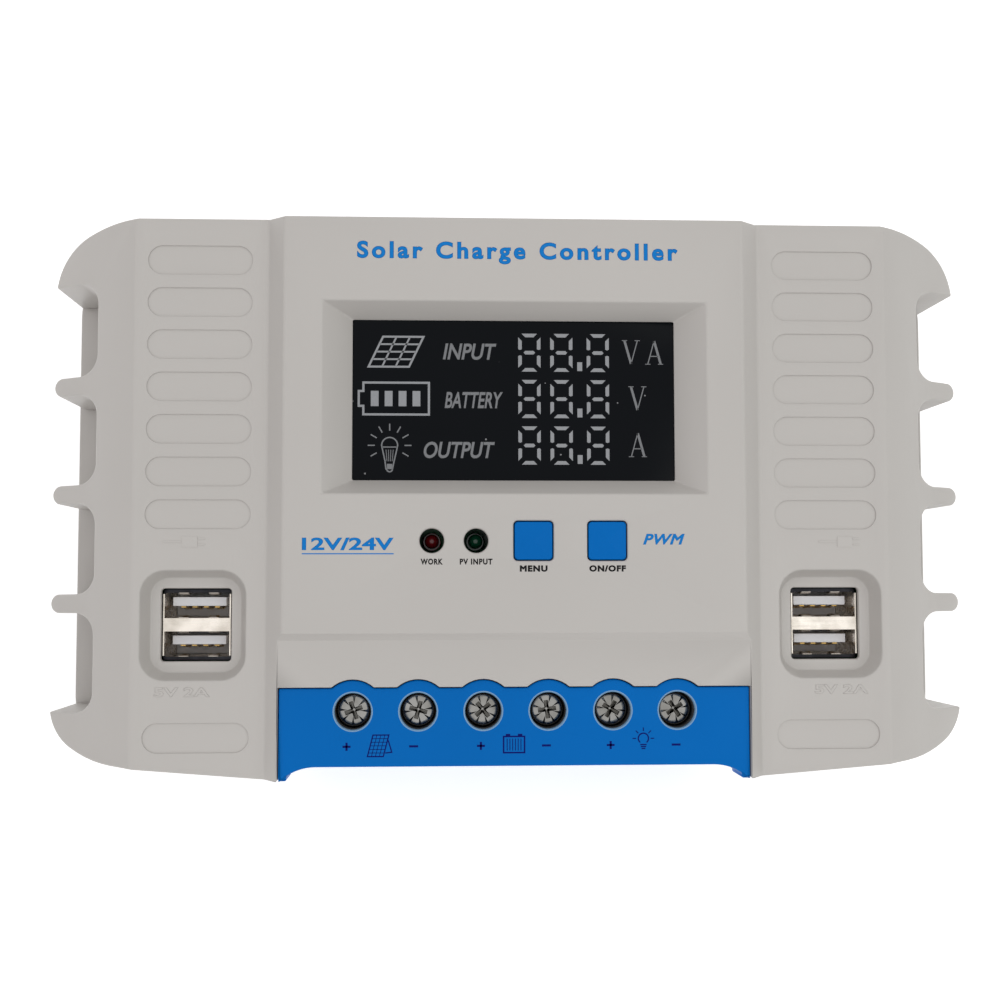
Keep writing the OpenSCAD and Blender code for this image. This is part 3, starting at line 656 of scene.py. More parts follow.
def screw_tree():
    """A pan-head cross-recess screw on every point, each turned by chance, heads towards +Z or -Z."""
    tree, given, result = node_group("GeometryNodeTree", "Pan Screws", [
        ("Geometry", "NodeSocketGeometry", None), ("Head Radius", LENGTH, 0.0029),
        ("Head Height", LENGTH, 0.002), ("Shank Radius", LENGTH, 0.00125),
        ("Shank Length", LENGTH, 0.008), ("Recess Width", LENGTH, 0.0007),
        ("Flip", LENGTH, 0.0), ("Seed", "NodeSocketInt", 3), ("Material", "NodeSocketMaterial", None)],
        [("Geometry", "NodeSocketGeometry")])
    crown = add(tree, "GeometryNodeMeshCone", {
        "Vertices": 40, "Side Segments": 1, "Radius Top": maths(tree, "MULTIPLY", given["Head Radius"], 0.72),
        "Radius Bottom": given["Head Radius"], "Depth": maths(tree, "MULTIPLY", given["Head Height"], 0.45)})
    band = add(tree, "GeometryNodeMeshCylinder", {
        "Vertices": 40, "Radius": given["Head Radius"],
        "Depth": maths(tree, "MULTIPLY", given["Head Height"], 0.55)})
    shank = add(tree, "GeometryNodeMeshCylinder", {
        "Vertices": 24, "Radius": given["Shank Radius"], "Depth": given["Shank Length"]})
    crown_up = vector(tree, z=maths(tree, "MULTIPLY", given["Head Height"], 0.55))
    band_up = vector(tree, z=maths(tree, "MULTIPLY", given["Head Height"], 0.275))
    shank_down = vector(tree, z=maths(tree, "MULTIPLY", given["Shank Length"], -0.499))
    body = add(tree, "GeometryNodeMeshBoolean", operation="UNION")
    for part in (moved(tree, crown.outputs["Mesh"], translation=crown_up),
                 moved(tree, band.outputs["Mesh"], translation=band_up),
                 moved(tree, shank.outputs["Mesh"], translation=shank_down)):
        tree.links.new(part, body.inputs["Mesh 2"])
    reach = maths(tree, "MULTIPLY", given["Head Radius"], 1.15)
    recess_up = vector(tree, z=given["Head Height"])
    blade = add(tree, "GeometryNodeMeshCube", {"Size": vector(
        tree, reach, given["Recess Width"], maths(tree, "MULTIPLY", given["Head Height"], 1.1))})
    across = moved(tree, blade.outputs["Mesh"], translation=recess_up)
    along = moved(tree, blade.outputs["Mesh"], translation=recess_up, rotation=(0.0, 0.0, math.pi / 2))
    cross = add(tree, "GeometryNodeMeshBoolean", {"Mesh 1": body.outputs["Mesh"]}, operation="DIFFERENCE")
    for part in (across, along):
        tree.links.new(part, cross.inputs["Mesh 2"])
    chance = add(tree, "FunctionNodeRandomValue", {"Seed": given["Seed"]}, data_type="FLOAT")
    chance.inputs[3].default_value = math.tau
    turn = vector(tree, x=maths(tree, "MULTIPLY", given["Flip"], math.pi), z=chance.outputs[1])
    points = add(tree, "GeometryNodeMeshToPoints", {"Mesh": given["Geometry"]}).outputs[0]
    last_steps(tree, instances(tree, points, cross.outputs["Mesh"], turn), given["Material"], result)
    return tree


def ridge_tree():
    """Pressed ridges in a star round a screw's own axis, added to the screw."""
    tree, given, result = node_group("GeometryNodeTree", "Star Ridges", [
        ("Geometry", "NodeSocketGeometry", None), ("Count", "NodeSocketInt", 8),
        ("Middle", "NodeSocketVector", None), ("Radius", LENGTH, 0.0023), ("Length", LENGTH, 0.0016),
        ("Width", LENGTH, 0.0006), ("Height", LENGTH, 0.0004), ("Turn", LENGTH, 0.0),
        ("Material", "NodeSocketMaterial", None)], [("Geometry", "NodeSocketGeometry")])
    wedge = add(tree, "GeometryNodeMeshCone", {
        "Vertices": 3, "Side Segments": 1, "Radius Top": 0.0, "Radius Bottom": 1.0, "Depth": 1.0})
    stretch = vector(tree, maths(tree, "DIVIDE", given["Length"], 1.5),
                     maths(tree, "DIVIDE", given["Width"], 1.73),
                     given["Height"])
    ridge = moved(tree, wedge.outputs["Mesh"], scale=stretch, rotation=(0.0, 0.0, math.pi))
    circle = add(tree, "GeometryNodeMeshCircle", {"Vertices": given["Count"], "Radius": given["Radius"]})
    order = add(tree, "GeometryNodeInputIndex").outputs[0]
    step = maths(tree, "DIVIDE", math.tau, given["Count"])
    turn = vector(tree, z=maths(tree, "MULTIPLY", order, step))
    star = instances(tree, circle.outputs["Mesh"], ridge, turn)
    placed = moved(tree, star, translation=given["Middle"], rotation=vector(tree, z=given["Turn"]))
    both = add(tree, "GeometryNodeJoinGeometry")
    tree.links.new(placed, both.inputs[0])
    tree.links.new(given["Geometry"], both.inputs[0])
    last_steps(tree, both.outputs[0], given["Material"], result)
    return tree


def row_tree():
    """Copies of the piece's own mesh in a straight row."""
    tree, given, result = node_group("GeometryNodeTree", "Even Row", [
        ("Geometry", "NodeSocketGeometry", None), ("Count", "NodeSocketInt", 3),
        ("Step", "NodeSocketVector", None), ("Material", "NodeSocketMaterial", None)],
        [("Geometry", "NodeSocketGeometry")])
    line = add(tree, "GeometryNodeMeshLine", {
        "Count": given["Count"], "Start Location": (0.0, 0.0, 0.0), "Offset": given["Step"]})
    last_steps(tree, instances(tree, line.outputs[0], given["Geometry"]), given["Material"], result)
    return tree


def ray_tree():
    """Copies of the piece's own mesh fanned about a centre, as the rays round a lamp sign."""
    tree, given, result = node_group("GeometryNodeTree", "Fan Of Rays", [
        ("Geometry", "NodeSocketGeometry", None), ("Count", "NodeSocketInt", 9), ("First", LENGTH, 0.0),
        ("Sweep", LENGTH, math.pi), ("Middle", "NodeSocketVector", None),
        ("Material", "NodeSocketMaterial", None)], [("Geometry", "NodeSocketGeometry")])
    line = add(tree, "GeometryNodeMeshLine", {"Count": given["Count"], "Offset": (0.0, 0.0, 0.0)})
    order = add(tree, "GeometryNodeInputIndex").outputs[0]
    step = maths(tree, "DIVIDE", given["Sweep"], maths(tree, "SUBTRACT", given["Count"], 1))
    turn = vector(tree, z=maths(tree, "MULTIPLY_ADD", order, step, given["First"]))
    fan = instances(tree, line.outputs[0], given["Geometry"], turn)
    last_steps(tree, moved(tree, fan, translation=given["Middle"]), given["Material"], result)
    return tree


def winding_tree():
    """Wire wound round a ring core: a line that circles the core's section as it goes round the ring."""
    tree, given, result = node_group("GeometryNodeTree", "Ring Winding", [
        ("Geometry", "NodeSocketGeometry", None), ("Turns", LENGTH, 22.0), ("Ring Radius", LENGTH, 0.0086),
        ("Half Width", LENGTH, 0.0031), ("Half Height", LENGTH, 0.0053), ("Wire Radius", LENGTH, 0.0006),
        ("Middle", "NodeSocketVector", None), ("Material", "NodeSocketMaterial", None)],
        [("Geometry", "NodeSocketGeometry")])
    samples = 880
    line = add(tree, "GeometryNodeCurvePrimitiveLine")
    fine = add(tree, "GeometryNodeResampleCurve", {"Curve": line.outputs[0], "Count": samples})
    part = add(tree, "GeometryNodeSplineParameter").outputs["Factor"]
    sweep = maths(tree, "MULTIPLY", part, 0.97 * math.tau)
    coil = maths(tree, "MULTIPLY", sweep, given["Turns"])
    out = maths(tree, "MULTIPLY_ADD", maths(tree, "COSINE", coil), given["Half Width"], given["Ring Radius"])
    place = vector(tree, maths(tree, "MULTIPLY", out, maths(tree, "COSINE", sweep)),
                   maths(tree, "MULTIPLY", out, maths(tree, "SINE", sweep)),
                   maths(tree, "MULTIPLY", maths(tree, "SINE", coil), given["Half Height"]))
    middle = add(tree, "ShaderNodeVectorMath", {0: place, 1: given["Middle"]}, operation="ADD").outputs[0]
    bent = add(tree, "GeometryNodeSetPosition", {"Geometry": fine.outputs[0], "Position": middle})
    section = add(tree, "GeometryNodeCurvePrimitiveCircle", {"Resolution": 8, "Radius": given["Wire Radius"]})
    wire = add(tree, "GeometryNodeCurveToMesh", {
        "Curve": bent.outputs[0], "Profile Curve": section.outputs[0], "Fill Caps": True})
    last_steps(tree, wire.outputs[0], given["Material"], result)
    return tree


TREES = {"screws": screw_tree(), "ridges": ridge_tree(), "row": row_tree(), "rays": ray_tree(),
         "winding": winding_tree()}


def screws_at(name, places, material, slot, node, seed, flip=False, **sizes):
    """Pan-head screws with their heads' undersides at the places given."""
    bm = bmesh.new()
    for place in places:
        bm.verts.new(place)
    piece = piece_from(bm, name)
    feed(piece, TREES["screws"], material=MATERIALS[material], seed=seed, flip=float(flip),
         **{key: value * MM for key, value in sizes.items()})
    settle(piece, 30)
    return mount(piece, CASE, slot, node)


def corners(node, inset):
    """The four corners of a CAD node's box in plan, drawn in by inset."""
    low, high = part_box(node)
    return [(x, y) for x in (low.x / MM + inset, high.x / MM - inset)
            for y in (low.y / MM + inset, high.y / MM - inset)]


# ---------- operators ----------

class ControllerOperator:
    """What every operator here shares."""

    bl_options = {"REGISTER"}

    def execute(self, context):
        self.make(context.scene.controller_detail)
        return {"FINISHED"}


class CONTROLLER_OT_stage(bpy.types.Operator):
    """Makes the materials, the floor, the lights and the camera"""

    bl_idname = "controller.stage"
    bl_label = "Stage"

    # Where the camera stands, and how far it leans from looking straight down
    camera_place = (-16.6, -18.45, 325.8)
    camera_lean = (3.555, -2.691, -0.084)

    def execute(self, context):
        scene = context.scene
        settings = scene.controller_stage
        MATERIALS.update(make_materials(scene.controller_colours))
        self.floor(settings)
        side, end = settings.side_power, settings.end_power
        white, pinkish, greenish = (1.0, 1.0, 1.0), (1.0, 0.955, 0.965), (0.97, 1.0, 0.965)
        for name, place, width, power, tint in (
                ("Left", (-0.85, 0.0, 0.85), 0.8, 0.85 * side, pinkish),
                ("Right", (0.85, 0.0, 0.85), 0.8, 1.15 * side, greenish),
                ("Far", (0.0, 0.9, 0.8), 0.8, end, white),
                ("Near", (0.0, -0.9, 0.8), 0.8, end, white),
                ("Above", (0.0, 0.0, 1.6), 2.4, settings.above_power, white)):
            self.light(name, place, width, power, tint)
        world = bpy.data.worlds.new("Surroundings")
        world.use_nodes = True
        background = world.node_tree.nodes["Background"]
        background.inputs["Color"].default_value = (1, 1, 1, 1)
        background.inputs["Strength"].default_value = settings.sky
        scene.world = world
        scene.view_settings.view_transform = "Standard"
        camera = bpy.data.objects.new("Camera", bpy.data.cameras.new("Camera"))
        camera.data.lens = settings.lens
        camera.data.sensor_width = 36
        camera.data.clip_start = 0.01
        camera.location = [c * MM for c in self.camera_place]
        camera.rotation_euler = [math.radians(a) for a in self.camera_lean]
        scene.collection.objects.link(camera)
        scene.camera = camera
        return {"FINISHED"}

    def floor(self, settings):
        """A wide square just under the object."""
        half, gap = settings.floor_width / 2 / MM, 0.05
        bm = bmesh.new()
        square = ((-1, -1), (1, -1), (1, 1), (-1, 1))
        bm.faces.new([bm.verts.new((x * half, y * half, -gap)) for x, y in square])
        MATERIALS["floor"] = plastic("Pale Floor", (0.93, 0.93, 0.93), rough=0.7, grain=0.0, drift=0.01,
                                     emission_color=(1, 1, 1, 1), emission_strength=0.4)
        piece_from(bm, "floor", "floor")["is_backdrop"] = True

    def light(self, name, place, width, power, tint):
        """A square light that faces the object."""
        lamp = bpy.data.lights.new(name, "AREA")
        lamp.size = width
        lamp.energy = power
        lamp.color = tint
        holder = bpy.data.objects.new(name, lamp)
        holder.location = place
        holder.rotation_euler = (-Vector(place)).to_track_quat("-Z", "Y").to_euler()
        bpy.context.scene.collection.objects.link(holder)


class CONTROLLER_OT_housing(ControllerOperator, bpy.types.Operator):
    """Finishes the top cover and the base tray with rounded edges"""

    bl_idname = "controller.housing"
    bl_label = "Housing"

    def make(self, detail):
        usb_low, usb_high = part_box("usb_shell_right")
        well = (usb_low.y / MM - 6, usb_high.y / MM + 6)
        ledge_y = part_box("terminal_cover")[1].y / MM + 12
        frame_side, panel_side, ledge_side, pads_start, pads_end, front_low = 35, 43, 50, 53, 76.5, 30

        def cover_edge(middle, along, angle):
            """The pads, the display frame, the ledge by the blue cover, and the long front edges differ."""
            x, y, z = abs(middle.x), middle.y, middle.z
            if abs(z - WING_TOP) < 0.5 and pads_start < x < pads_end and not well[0] < y < well[1]:
                return detail.pad_edge
            if abs(z - SCREEN_TOP) < 0.6 and x < frame_side:
                return 0.12
            if x < ledge_side and y < ledge_y and z > WING_TOP:
                return 0.15
            if abs(along.y) > 0.9 and 20 < angle < 50 and z > front_low and x > panel_side:
                return detail.wide_edge
            return detail.fine_edge

        softened("top_cover", "top_cover_shell", CASE, "housing_plastic", ["housing"], cover_edge,
                 detail.wide_edge)
        softened("base_tray", "base_tray_shell", CASE, "housing_plastic", ["housing"], even(0.25))


class CONTROLLER_OT_terminal_cover(ControllerOperator, bpy.types.Operator):
    """Finishes the blue clip-on cover, with a pale painted highlight round each screw access hole"""

    bl_idname = "controller.terminal_cover"
    bl_label = "Terminal Cover"

    def make(self, detail):
        piece = softened("terminal_cover", "terminal_cover_shell", CASE, "blue_plastic", ["accent", "rim"],
                         even(detail.fine_edge))
        holes = [centre(f"terminal_screw_{i}").xy for i in TERMINALS]
        hole_radius = 3.7
        # Painted highlight: the sloping faces round each screw access hole take the pale blue rim colour
        for face in piece.data.polygons:
            at = Vector(face.center) / MM
            if at.z > COVER_TOP - 1 and face.normal.z < 0.97:
                if min((at.xy - hole).length for hole in holes) < hole_radius + detail.fine_edge:
                    face.material_index = 1


class CONTROLLER_OT_display(ControllerOperator, bpy.types.Operator):
    """Makes the display's window and the marks that show on it"""

    bl_idname = "controller.display"
    bl_label = "Display"

    row_top, row_pitch = 30.43, 9.755

    def make(self, detail):
        softened("display_window", "display_window_pane", CASE, "window_plastic", ["screen"], even(0.1))
        self.digits(detail)
        self.signs(detail)
        self.names(detail)

    def digits(self, detail):
        """Three rows of three seven-segment digits, each row with its decimal point."""
        outlines = []
        for x in (3.22, 9.93, 17.59):
            outlines += self.digit(x, self.row_top)
        outlines.append(bar(13.78, self.row_top - 2.9, 1.05, 1.85))
        piece = piece_from(flat_mesh(outlines, SCREEN_TOP, detail.ink), "display_digits")
        feed(piece, TREES["row"], count=3, step=(0, -self.row_pitch * MM, 0),
             material=MATERIALS["screen_marks"])
        mount(settle(piece), CASE, "window_plastic")

    def digit(self, x, y, half_width=2.34, half_height=4.0, thick=0.76, gap=0.36):
        """The seven segments of one digit: five-cornered uprights, four-cornered bars and a lozenge."""
        outlines = []
        reach = half_width - gap - 0.36
        for s in (-1, 1):
            outer, inner = y + s * half_height, y + s * (half_height - thick)
            outlines.append([(x - reach, outer), (x + reach, outer), (x + reach - thick, inner),
                             (x - reach + thick, inner)])
            for t in (-1, 1):
                side, lane = x + t * half_width, x + t * (half_width - thick)
                near, far = y + s * 0.72, y + s * (half_height - gap - 0.42)
                outlines.append([(side, near), (side, far), (lane, far - s * thick), (lane, near),
                                 ((side + lane) / 2, near - s * 0.16)])
        tip = half_width - thick - 0.36
        outlines.append([(x - tip, y), (x - tip + 0.36, y - 0.38), (x + tip - 0.36, y - 0.38), (x + tip, y),
                         (x + tip - 0.36, y + 0.38), (x - tip + 0.36, y + 0.38)])
        return outlines

    def signs(self, detail):
        """The solar module, battery and lamp signs down the left side."""
        skew, low, high = 3.0, 27.3, 33.6
        corner = lambda u, v: (-30.3 + 8.4 * u + skew * v, low + (high - low) * v)
        outlines = ribbon([corner(0, 0), corner(1, 0), corner(1, 1), corner(0, 1)], 0.42, closed=True)
        for u in (1 / 3, 2 / 3):
            outlines += ribbon([corner(u, 0.03), corner(u, 0.97)], 0.36)
        for v in (1 / 4, 2 / 4, 3 / 4):
            outlines += ribbon([corner(0.02, v), corner(0.98, v)], 0.36)
        left, right, near, far = -31.35, -17.75, 17.3, 23.95
        middle = (near + far) / 2
        outlines += ribbon([(left, near), (right, near), (right, far), (left, far), (left, middle + 1.55),
                            (left - 0.95, middle + 1.55), (left - 0.95, middle - 1.55),
                            (left, middle - 1.55)],
                           0.46, closed=True)
        outlines += [bar(-29.0 + 2.886 * i, middle, 1.62, 3.2) for i in range(4)]
        printed("display_signs", outlines, SCREEN_TOP, "screen_marks", "window_plastic", detail.ink)
        x, y = -25.87, 10.85
        down = [(x - 1.45, y - 1.0), (x - 0.95, y - 3.2), (x - 0.75, y - 4.9)]
        up = [(x + 0.95, y - 3.2), (x + 1.45, y - 1.0)]
        bulb = arc(x, y, 1.66, 0, 180) + down + arc(x, y - 4.9, 0.6, 180, 360, 6) + up
        lines = ribbon(bulb, 0.28, closed=True) + ribbon([(x - 1.5, y - 0.35), (x + 1.5, y - 0.35)], 0.22)
        for i in range(4):
            foot_x = x + (i - 1.5) * 0.36
            lines += ribbon([(x + (i - 1.5) * 0.5, y - 0.9), (foot_x, y - 3.3)], 0.14)
        lines += [bar(x, y - 4.4, 1.1, 1.1)]
        printed("display_lamp_sign", lines, SCREEN_TOP, "faint_marks", "window_plastic", detail.ink)
        rays = piece_from(flat_mesh([bar(3.8, 0, 1.45, 0.26)], SCREEN_TOP, detail.ink), "display_lamp_rays")
        feed(rays, TREES["rays"], count=9, first=math.radians(-30), sweep=math.radians(240),
             middle=(x * MM, y * MM, 0), material=MATERIALS["faint_marks"])
        mount(settle(rays), CASE, "window_plastic")

    def names(self, detail):
        """The names beside the signs, and the unit letters."""
        for name, text, left, right, base in (
                ("input", "INPUT", -14.9, -3.65, 28.85), ("battery", "BATTERY", -14.5, -2.3, 18.65),
                ("output", "OUTPUT", -18.85, -4.0, 8.2)):
            words(f"display_word_{name}", text, left, right, base, 3.45, SCREEN_TOP, "faint_marks",
                  "window_plastic", detail.ink, weight=0.03, slant=0.22)
        letters = []
        for x, y, kind in ((24.6, 28.2, "V"), (29.5, 28.2, "A"), (25.9, 18.45, "V"), (25.9, 8.7, "A")):
            letters += self.letter(x, y, kind)
        printed("display_units", letters, SCREEN_TOP, "faint_marks", "window_plastic", detail.ink)

    def letter(self, x, y, kind, height=4.85, half=1.35):
        """A light serif V or A that stands at y."""
        up = -1 if kind == "V" else 1
        tip, ends = (y, y + height) if up < 0 else (y + height, y)
        outlines = ribbon([(x + up * half, ends), (x, tip)], 0.5)
        outlines += ribbon([(x - up * half, ends), (x, tip)], 0.22)
        outlines += [bar(x + t * half, ends - up * 0.06, 1.1, 0.16) for t in (-1, 1)]
        if kind == "A":
            outlines.append(bar(x, y + height * 0.33, 1.6, 0.2))
        return outlines


class CONTROLLER_OT_buttons(ControllerOperator, bpy.types.Operator):
    """Finishes the two push buttons"""

    bl_idname = "controller.buttons"
    bl_label = "Buttons"

    def make(self, detail):
        for name in ("menu", "power"):
            softened(f"{name}_button", f"{name}_button_cap", f"{name}_button", "blue_plastic", ["accent"],
                     even(0.2))
            shade(bpy.data.objects[f"{name}_button_cap"], 4)
            softened(f"{name}_plunger", f"{name}_plunger_pin", f"{name}_button", "dark_plastic", ["black"],
                     even(0.2))
            softened(f"{name}_switch", f"{name}_switch_body", CASE, "dark_plastic", ["black"], even(0.08))


class CONTROLLER_OT_lamps(ControllerOperator, bpy.types.Operator):
    """Turns the two indicator lamps: flange, barrel and domed lens"""

    bl_idname = "controller.lamps"
    bl_label = "Lamps"

    def make(self, detail):
        for node, material, slot in (("work_lamp", "red_lens", "red_lens"),
                                     ("input_lamp", "green_lens", "green_lens")):
            at, base = centre(node), foot(node)
            dome = [(1.5 * math.cos(math.radians(a)), base + 4.5 + 1.5 * math.sin(math.radians(a)))
                    for a in range(0, 90, 10)]
            profile = [(0, base), (1.9, base), (1.9, base + 0.85), (1.75, base + 1), (1.5, base + 1), *dome,
                       (0, base + 6)]
            piece = spun(profile, f"{node}_lens", at.x, at.y, [material])
            shade(piece, 40)
            mount(piece, CASE, slot, node)
        softened("lamp_leads", "lamp_lead_wires", CASE, "tinned_copper", ["tin"], even(0.05))


class CONTROLLER_OT_usb_sockets(ControllerOperator, bpy.types.Operator):
    """Builds the two double USB sockets: folded shells, tongues and contacts"""

    bl_idname = "controller.usb_sockets"
    bl_label = "USB Sockets"

    pitch, port_width, port_height = 8.0, 13.3, 5.2

    def make(self, detail):
        for side in ("left", "right"):
            self.shell(side)
            softened(f"usb_tongues_{side}", f"usb_tongues_{side}_moulding", CASE, "white_plastic", ["white"],
                     even(0.12))
        self.contacts()

    def shell(self, side):
        """The folded shell, its corners nicked and its long outer walls set back at the mouth, with painted
        shadow on the cut edges.
        """
        node = f"usb_shell_{side}"
        at, mouth = centre(node), top(node)
        half = size(node) / 2
        piece = softened(node, f"usb_shell_{side}_body", CASE, "shell_steel", ["nickel", "dark_steel"],
                         even(0.09))
        nick, depth, wall = 0.95, 1.3, half.y - self.pitch / 2 - self.port_height / 2
        corner_cuts = [(x, y, nick, nick) for x in (-half.x, half.x) for y in (-half.y, half.y)]
        wall_cuts = [(0, y, half.x + 1, wall + 0.05) for y in (-half.y, half.y)]
        for cuts in (corner_cuts, wall_cuts):
            bm = bmesh.new()
            for x, y, reach_x, reach_y in cuts:
                x, y = at.x + x, at.y + y
                box_in(bm, (x - reach_x, y - reach_y, mouth - depth), (x + reach_x, y + reach_y, mouth + 1))
            cut(piece, piece_from(bm, "nicks"))
        # Painted shadow: the faces left at the floor of the cuts take the black oxide colour
        for face in piece.data.polygons:
            if abs(face.center.z / MM - mouth + depth) < 0.05:
                face.material_index = 1
        self.springs(side, at, mouth)

    def springs(self, side, at, mouth):
        """Two sprung leaves on each long wall of each port."""
        bm = bmesh.new()
        for port in (-1, 1):
            for wall in (-1, 1):
                face = at.y + port * self.pitch / 2 + wall * self.port_height / 2
                for x in (-3.1, 3.1):
                    self.leaf(bm, at.x + x, face, -wall, mouth)
        piece = piece_from(bm, f"usb_springs_{side}", "nickel")
        shade(piece, 50)
        mount(piece, CASE, "shell_steel")

    def leaf(self, bm, x, wall, inwards, mouth, width=2.0, bulge=0.42, thick=0.16, start=2.1, length=3.6):
        """A bowed strip that leaves the wall, stands into the port and comes back to it."""
        left, right, steps = x - width / 2, x + width / 2, 8
        rings = []
        for i in range(steps + 1):
            out = bulge * math.sin(math.pi * i / steps) ** 1.5
            z = mouth - start - length * i / steps
            near, far = wall + inwards * (out - thick / 2), wall + inwards * (out + thick / 2)
            rings.append([(left, near, z), (right, near, z), (right, far, z), (left, far, z)])
        loft(bm, rings)

    def contacts(self):
        """Four sprung contacts under each tongue, bowed away from it."""
        heel, tip = foot("usb_contacts"), top("usb_contacts")
        span, width, thick, count, steps = 7.0, 1.0, 0.2, 4, 10
        section = ((-width / 2, 0), (width / 2, 0), (width / 2, thick), (-width / 2, thick))
        for side in ("left", "right"):
            at = centre(f"usb_shell_{side}")
            for port, name in ((1, "upper"), (-1, "lower")):
                under = at.y + port * self.pitch / 2 - 0.17
                rings = []
                for i in range(steps + 1):
                    bow = 0.12 + 0.5 * math.sin(math.pi * min(1, 1.1 * i / steps)) ** 2
                    z = heel + (tip - heel) * i / steps
                    rings.append([(at.x - span / 2 + dx, under - bow - dy, z) for dx, dy in section])
                bm = bmesh.new()
                loft(bm, rings)
                piece = piece_from(bm, f"usb_contacts_{side}_{name}")
                feed(piece, TREES["row"], count=count, step=(span / (count - 1) * MM, 0, 0),
                     material=MATERIALS["gold"])
                settle(piece, 50)
                mount(piece, CASE, "gold_contacts", "usb_contacts")


class CONTROLLER_OT_terminals(ControllerOperator, bpy.types.Operator):
    """Builds the terminal screws, and finishes their clamps, the busbars and the block"""

    bl_idname = "controller.terminals"
    bl_label = "Terminals"

    turns = (20, 75, 40, 8, 60, 33)

    def make(self, detail):
        for i, turn in zip(TERMINALS, self.turns):
            self.screw(i, turn, detail.ridges)
            softened(f"clamp_cage_{i}", f"clamp_cage_{i}_body", f"clamp_cage_{i}", "zinc_steel", ["zinc"],
                     even(0.2))
        softened("terminal_block", "terminal_block_moulding", CASE, "dark_plastic", ["black"], even(0.2))
        softened("busbars", "busbar_strips", CASE, "tinned_copper", ["tin"], even(0.12))

    def screw(self, i, turn, ridges):
        """A screw with a cross recess, a star of pressed ridges and a threaded shank."""
        node = f"terminal_screw_{i}"
        at, high, low = centre(node), top(node), foot(node)
        head, under, face, shank, pitch = 3.25, high - 2.3, high - 0.22, 2.0, 0.7
        threads = []
        z = low + 0.2
        while z < under - pitch - 0.3:
            threads += [(shank, z), (shank, z + 0.12), (shank - 0.28, z + 0.35), (shank, z + 0.58)]
            z += pitch
        profile = [(0, low), (shank - 0.3, low), *threads, (shank, under), (head - 0.1, under),
                   (head, under + 0.1), (head, high - 0.42), (head - 0.08, high - 0.28), (head - 0.22, face),
                   (1.2, face), (0, face)]
        piece = spun(profile, f"{node}_body", at.x, at.y, ["zinc"], 56)
        cut(piece, self.cross(at, high, turn))
        feed(piece, TREES["ridges"], count=ridges, middle=(at.x * MM, at.y * MM, (high - 0.24) * MM),
             radius=2.3 * MM, length=1.9 * MM, width=0.6 * MM, height=0.17 * MM,
             turn=math.radians(turn + 22.5), material=MATERIALS["zinc"])
        settle(piece, 28)
        mount(piece, node, "zinc_steel", node)

    def cross(self, at, high, turn, reach=2.3, half=0.55, depth=2.0):
        """A cross-shaped punch that narrows downwards."""
        outline = []
        for k in range(4):
            quarter = Matrix.Rotation(math.radians(90 * k + turn), 2)
            outline += [quarter @ Vector(p) for p in ((reach, -half), (reach, half), (half, half))]
        bm = bmesh.new()
        loft(bm, [[(at.x + p.x * s, at.y + p.y * s, z) for p in outline]
                  for s, z in ((1.1, high + 0.5), (0.12, high - depth))])
        return piece_from(bm, "cross_punch")


class CONTROLLER_OT_fixings(ControllerOperator, bpy.types.Operator):
    """Places the cross-recess screws that hold the case, the boards and the heat sink"""

    bl_idname = "controller.fixings"
    bl_label = "Fixings"

    # Board posts that don't stand at a corner, and the transistors' places along their row
    inner_posts = [(0, 46), (32, -31), (-32, -31)]
    transistor_places = range(-44, 45, 22)

    def make(self, detail):
        low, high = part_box("transistor_screws")
        row_y = (low.y + high.y) / 2 / MM
        row = [(x, row_y) for x in self.transistor_places]
        posts = corners("board_screws", 2.9) + self.inner_posts
        sizes = ("head_radius", "head_height", "shank_radius", "shank_length", "recess_width")
        # Piece, node, places, depth of the head's underside below the node's top, seed, and the sizes
        for name, node, places, drop, seed, *values in (
                ("case_screw_set", "case_screws", corners("case_screws", 2.9), 14, 11, 2.9, 1.7, 1.4, 14,
                 0.8),
                ("heat_sink_screw_set", "heat_sink_screws", corners("heat_sink_screws", 2.8), 3.5, 5,
                 2.8, 1.1, 1.45, 3.5, 0.7),
                ("display_screw_set", "display_screws", corners("display_screws", 2.8), 7, 7,
                 2.8, 1.8, 1.25, 7, 0.7),
                ("board_screw_set", "board_screws", posts, 2, 9, 2.9, 2, 1.25, 8, 0.7),
                ("transistor_screw_set", "transistor_screws", row, 1.9, 2, 2.8, 1.9, 1.45, 3.6, 0.7)):
            outside = node in ("case_screws", "heat_sink_screws")
            material, slot = ("dark_steel", "black_steel") if outside else ("zinc", "zinc_steel")
            heads_down = outside or node == "display_screws"
            screws_at(name, [(x, y, top(node) - drop) for x, y in places], material, slot, node, seed,
                      heads_down, **dict(zip(sizes, values)))


class CONTROLLER_OT_heat_sink(ControllerOperator, bpy.types.Operator):
    """Finishes the finned heat sink in the back"""

    bl_idname = "controller.heat_sink"
    bl_label = "Heat Sink"

    def make(self, detail):
        softened("heat_sink", "heat_sink_body", CASE, "sink_aluminium", ["aluminium"], even(0.18))


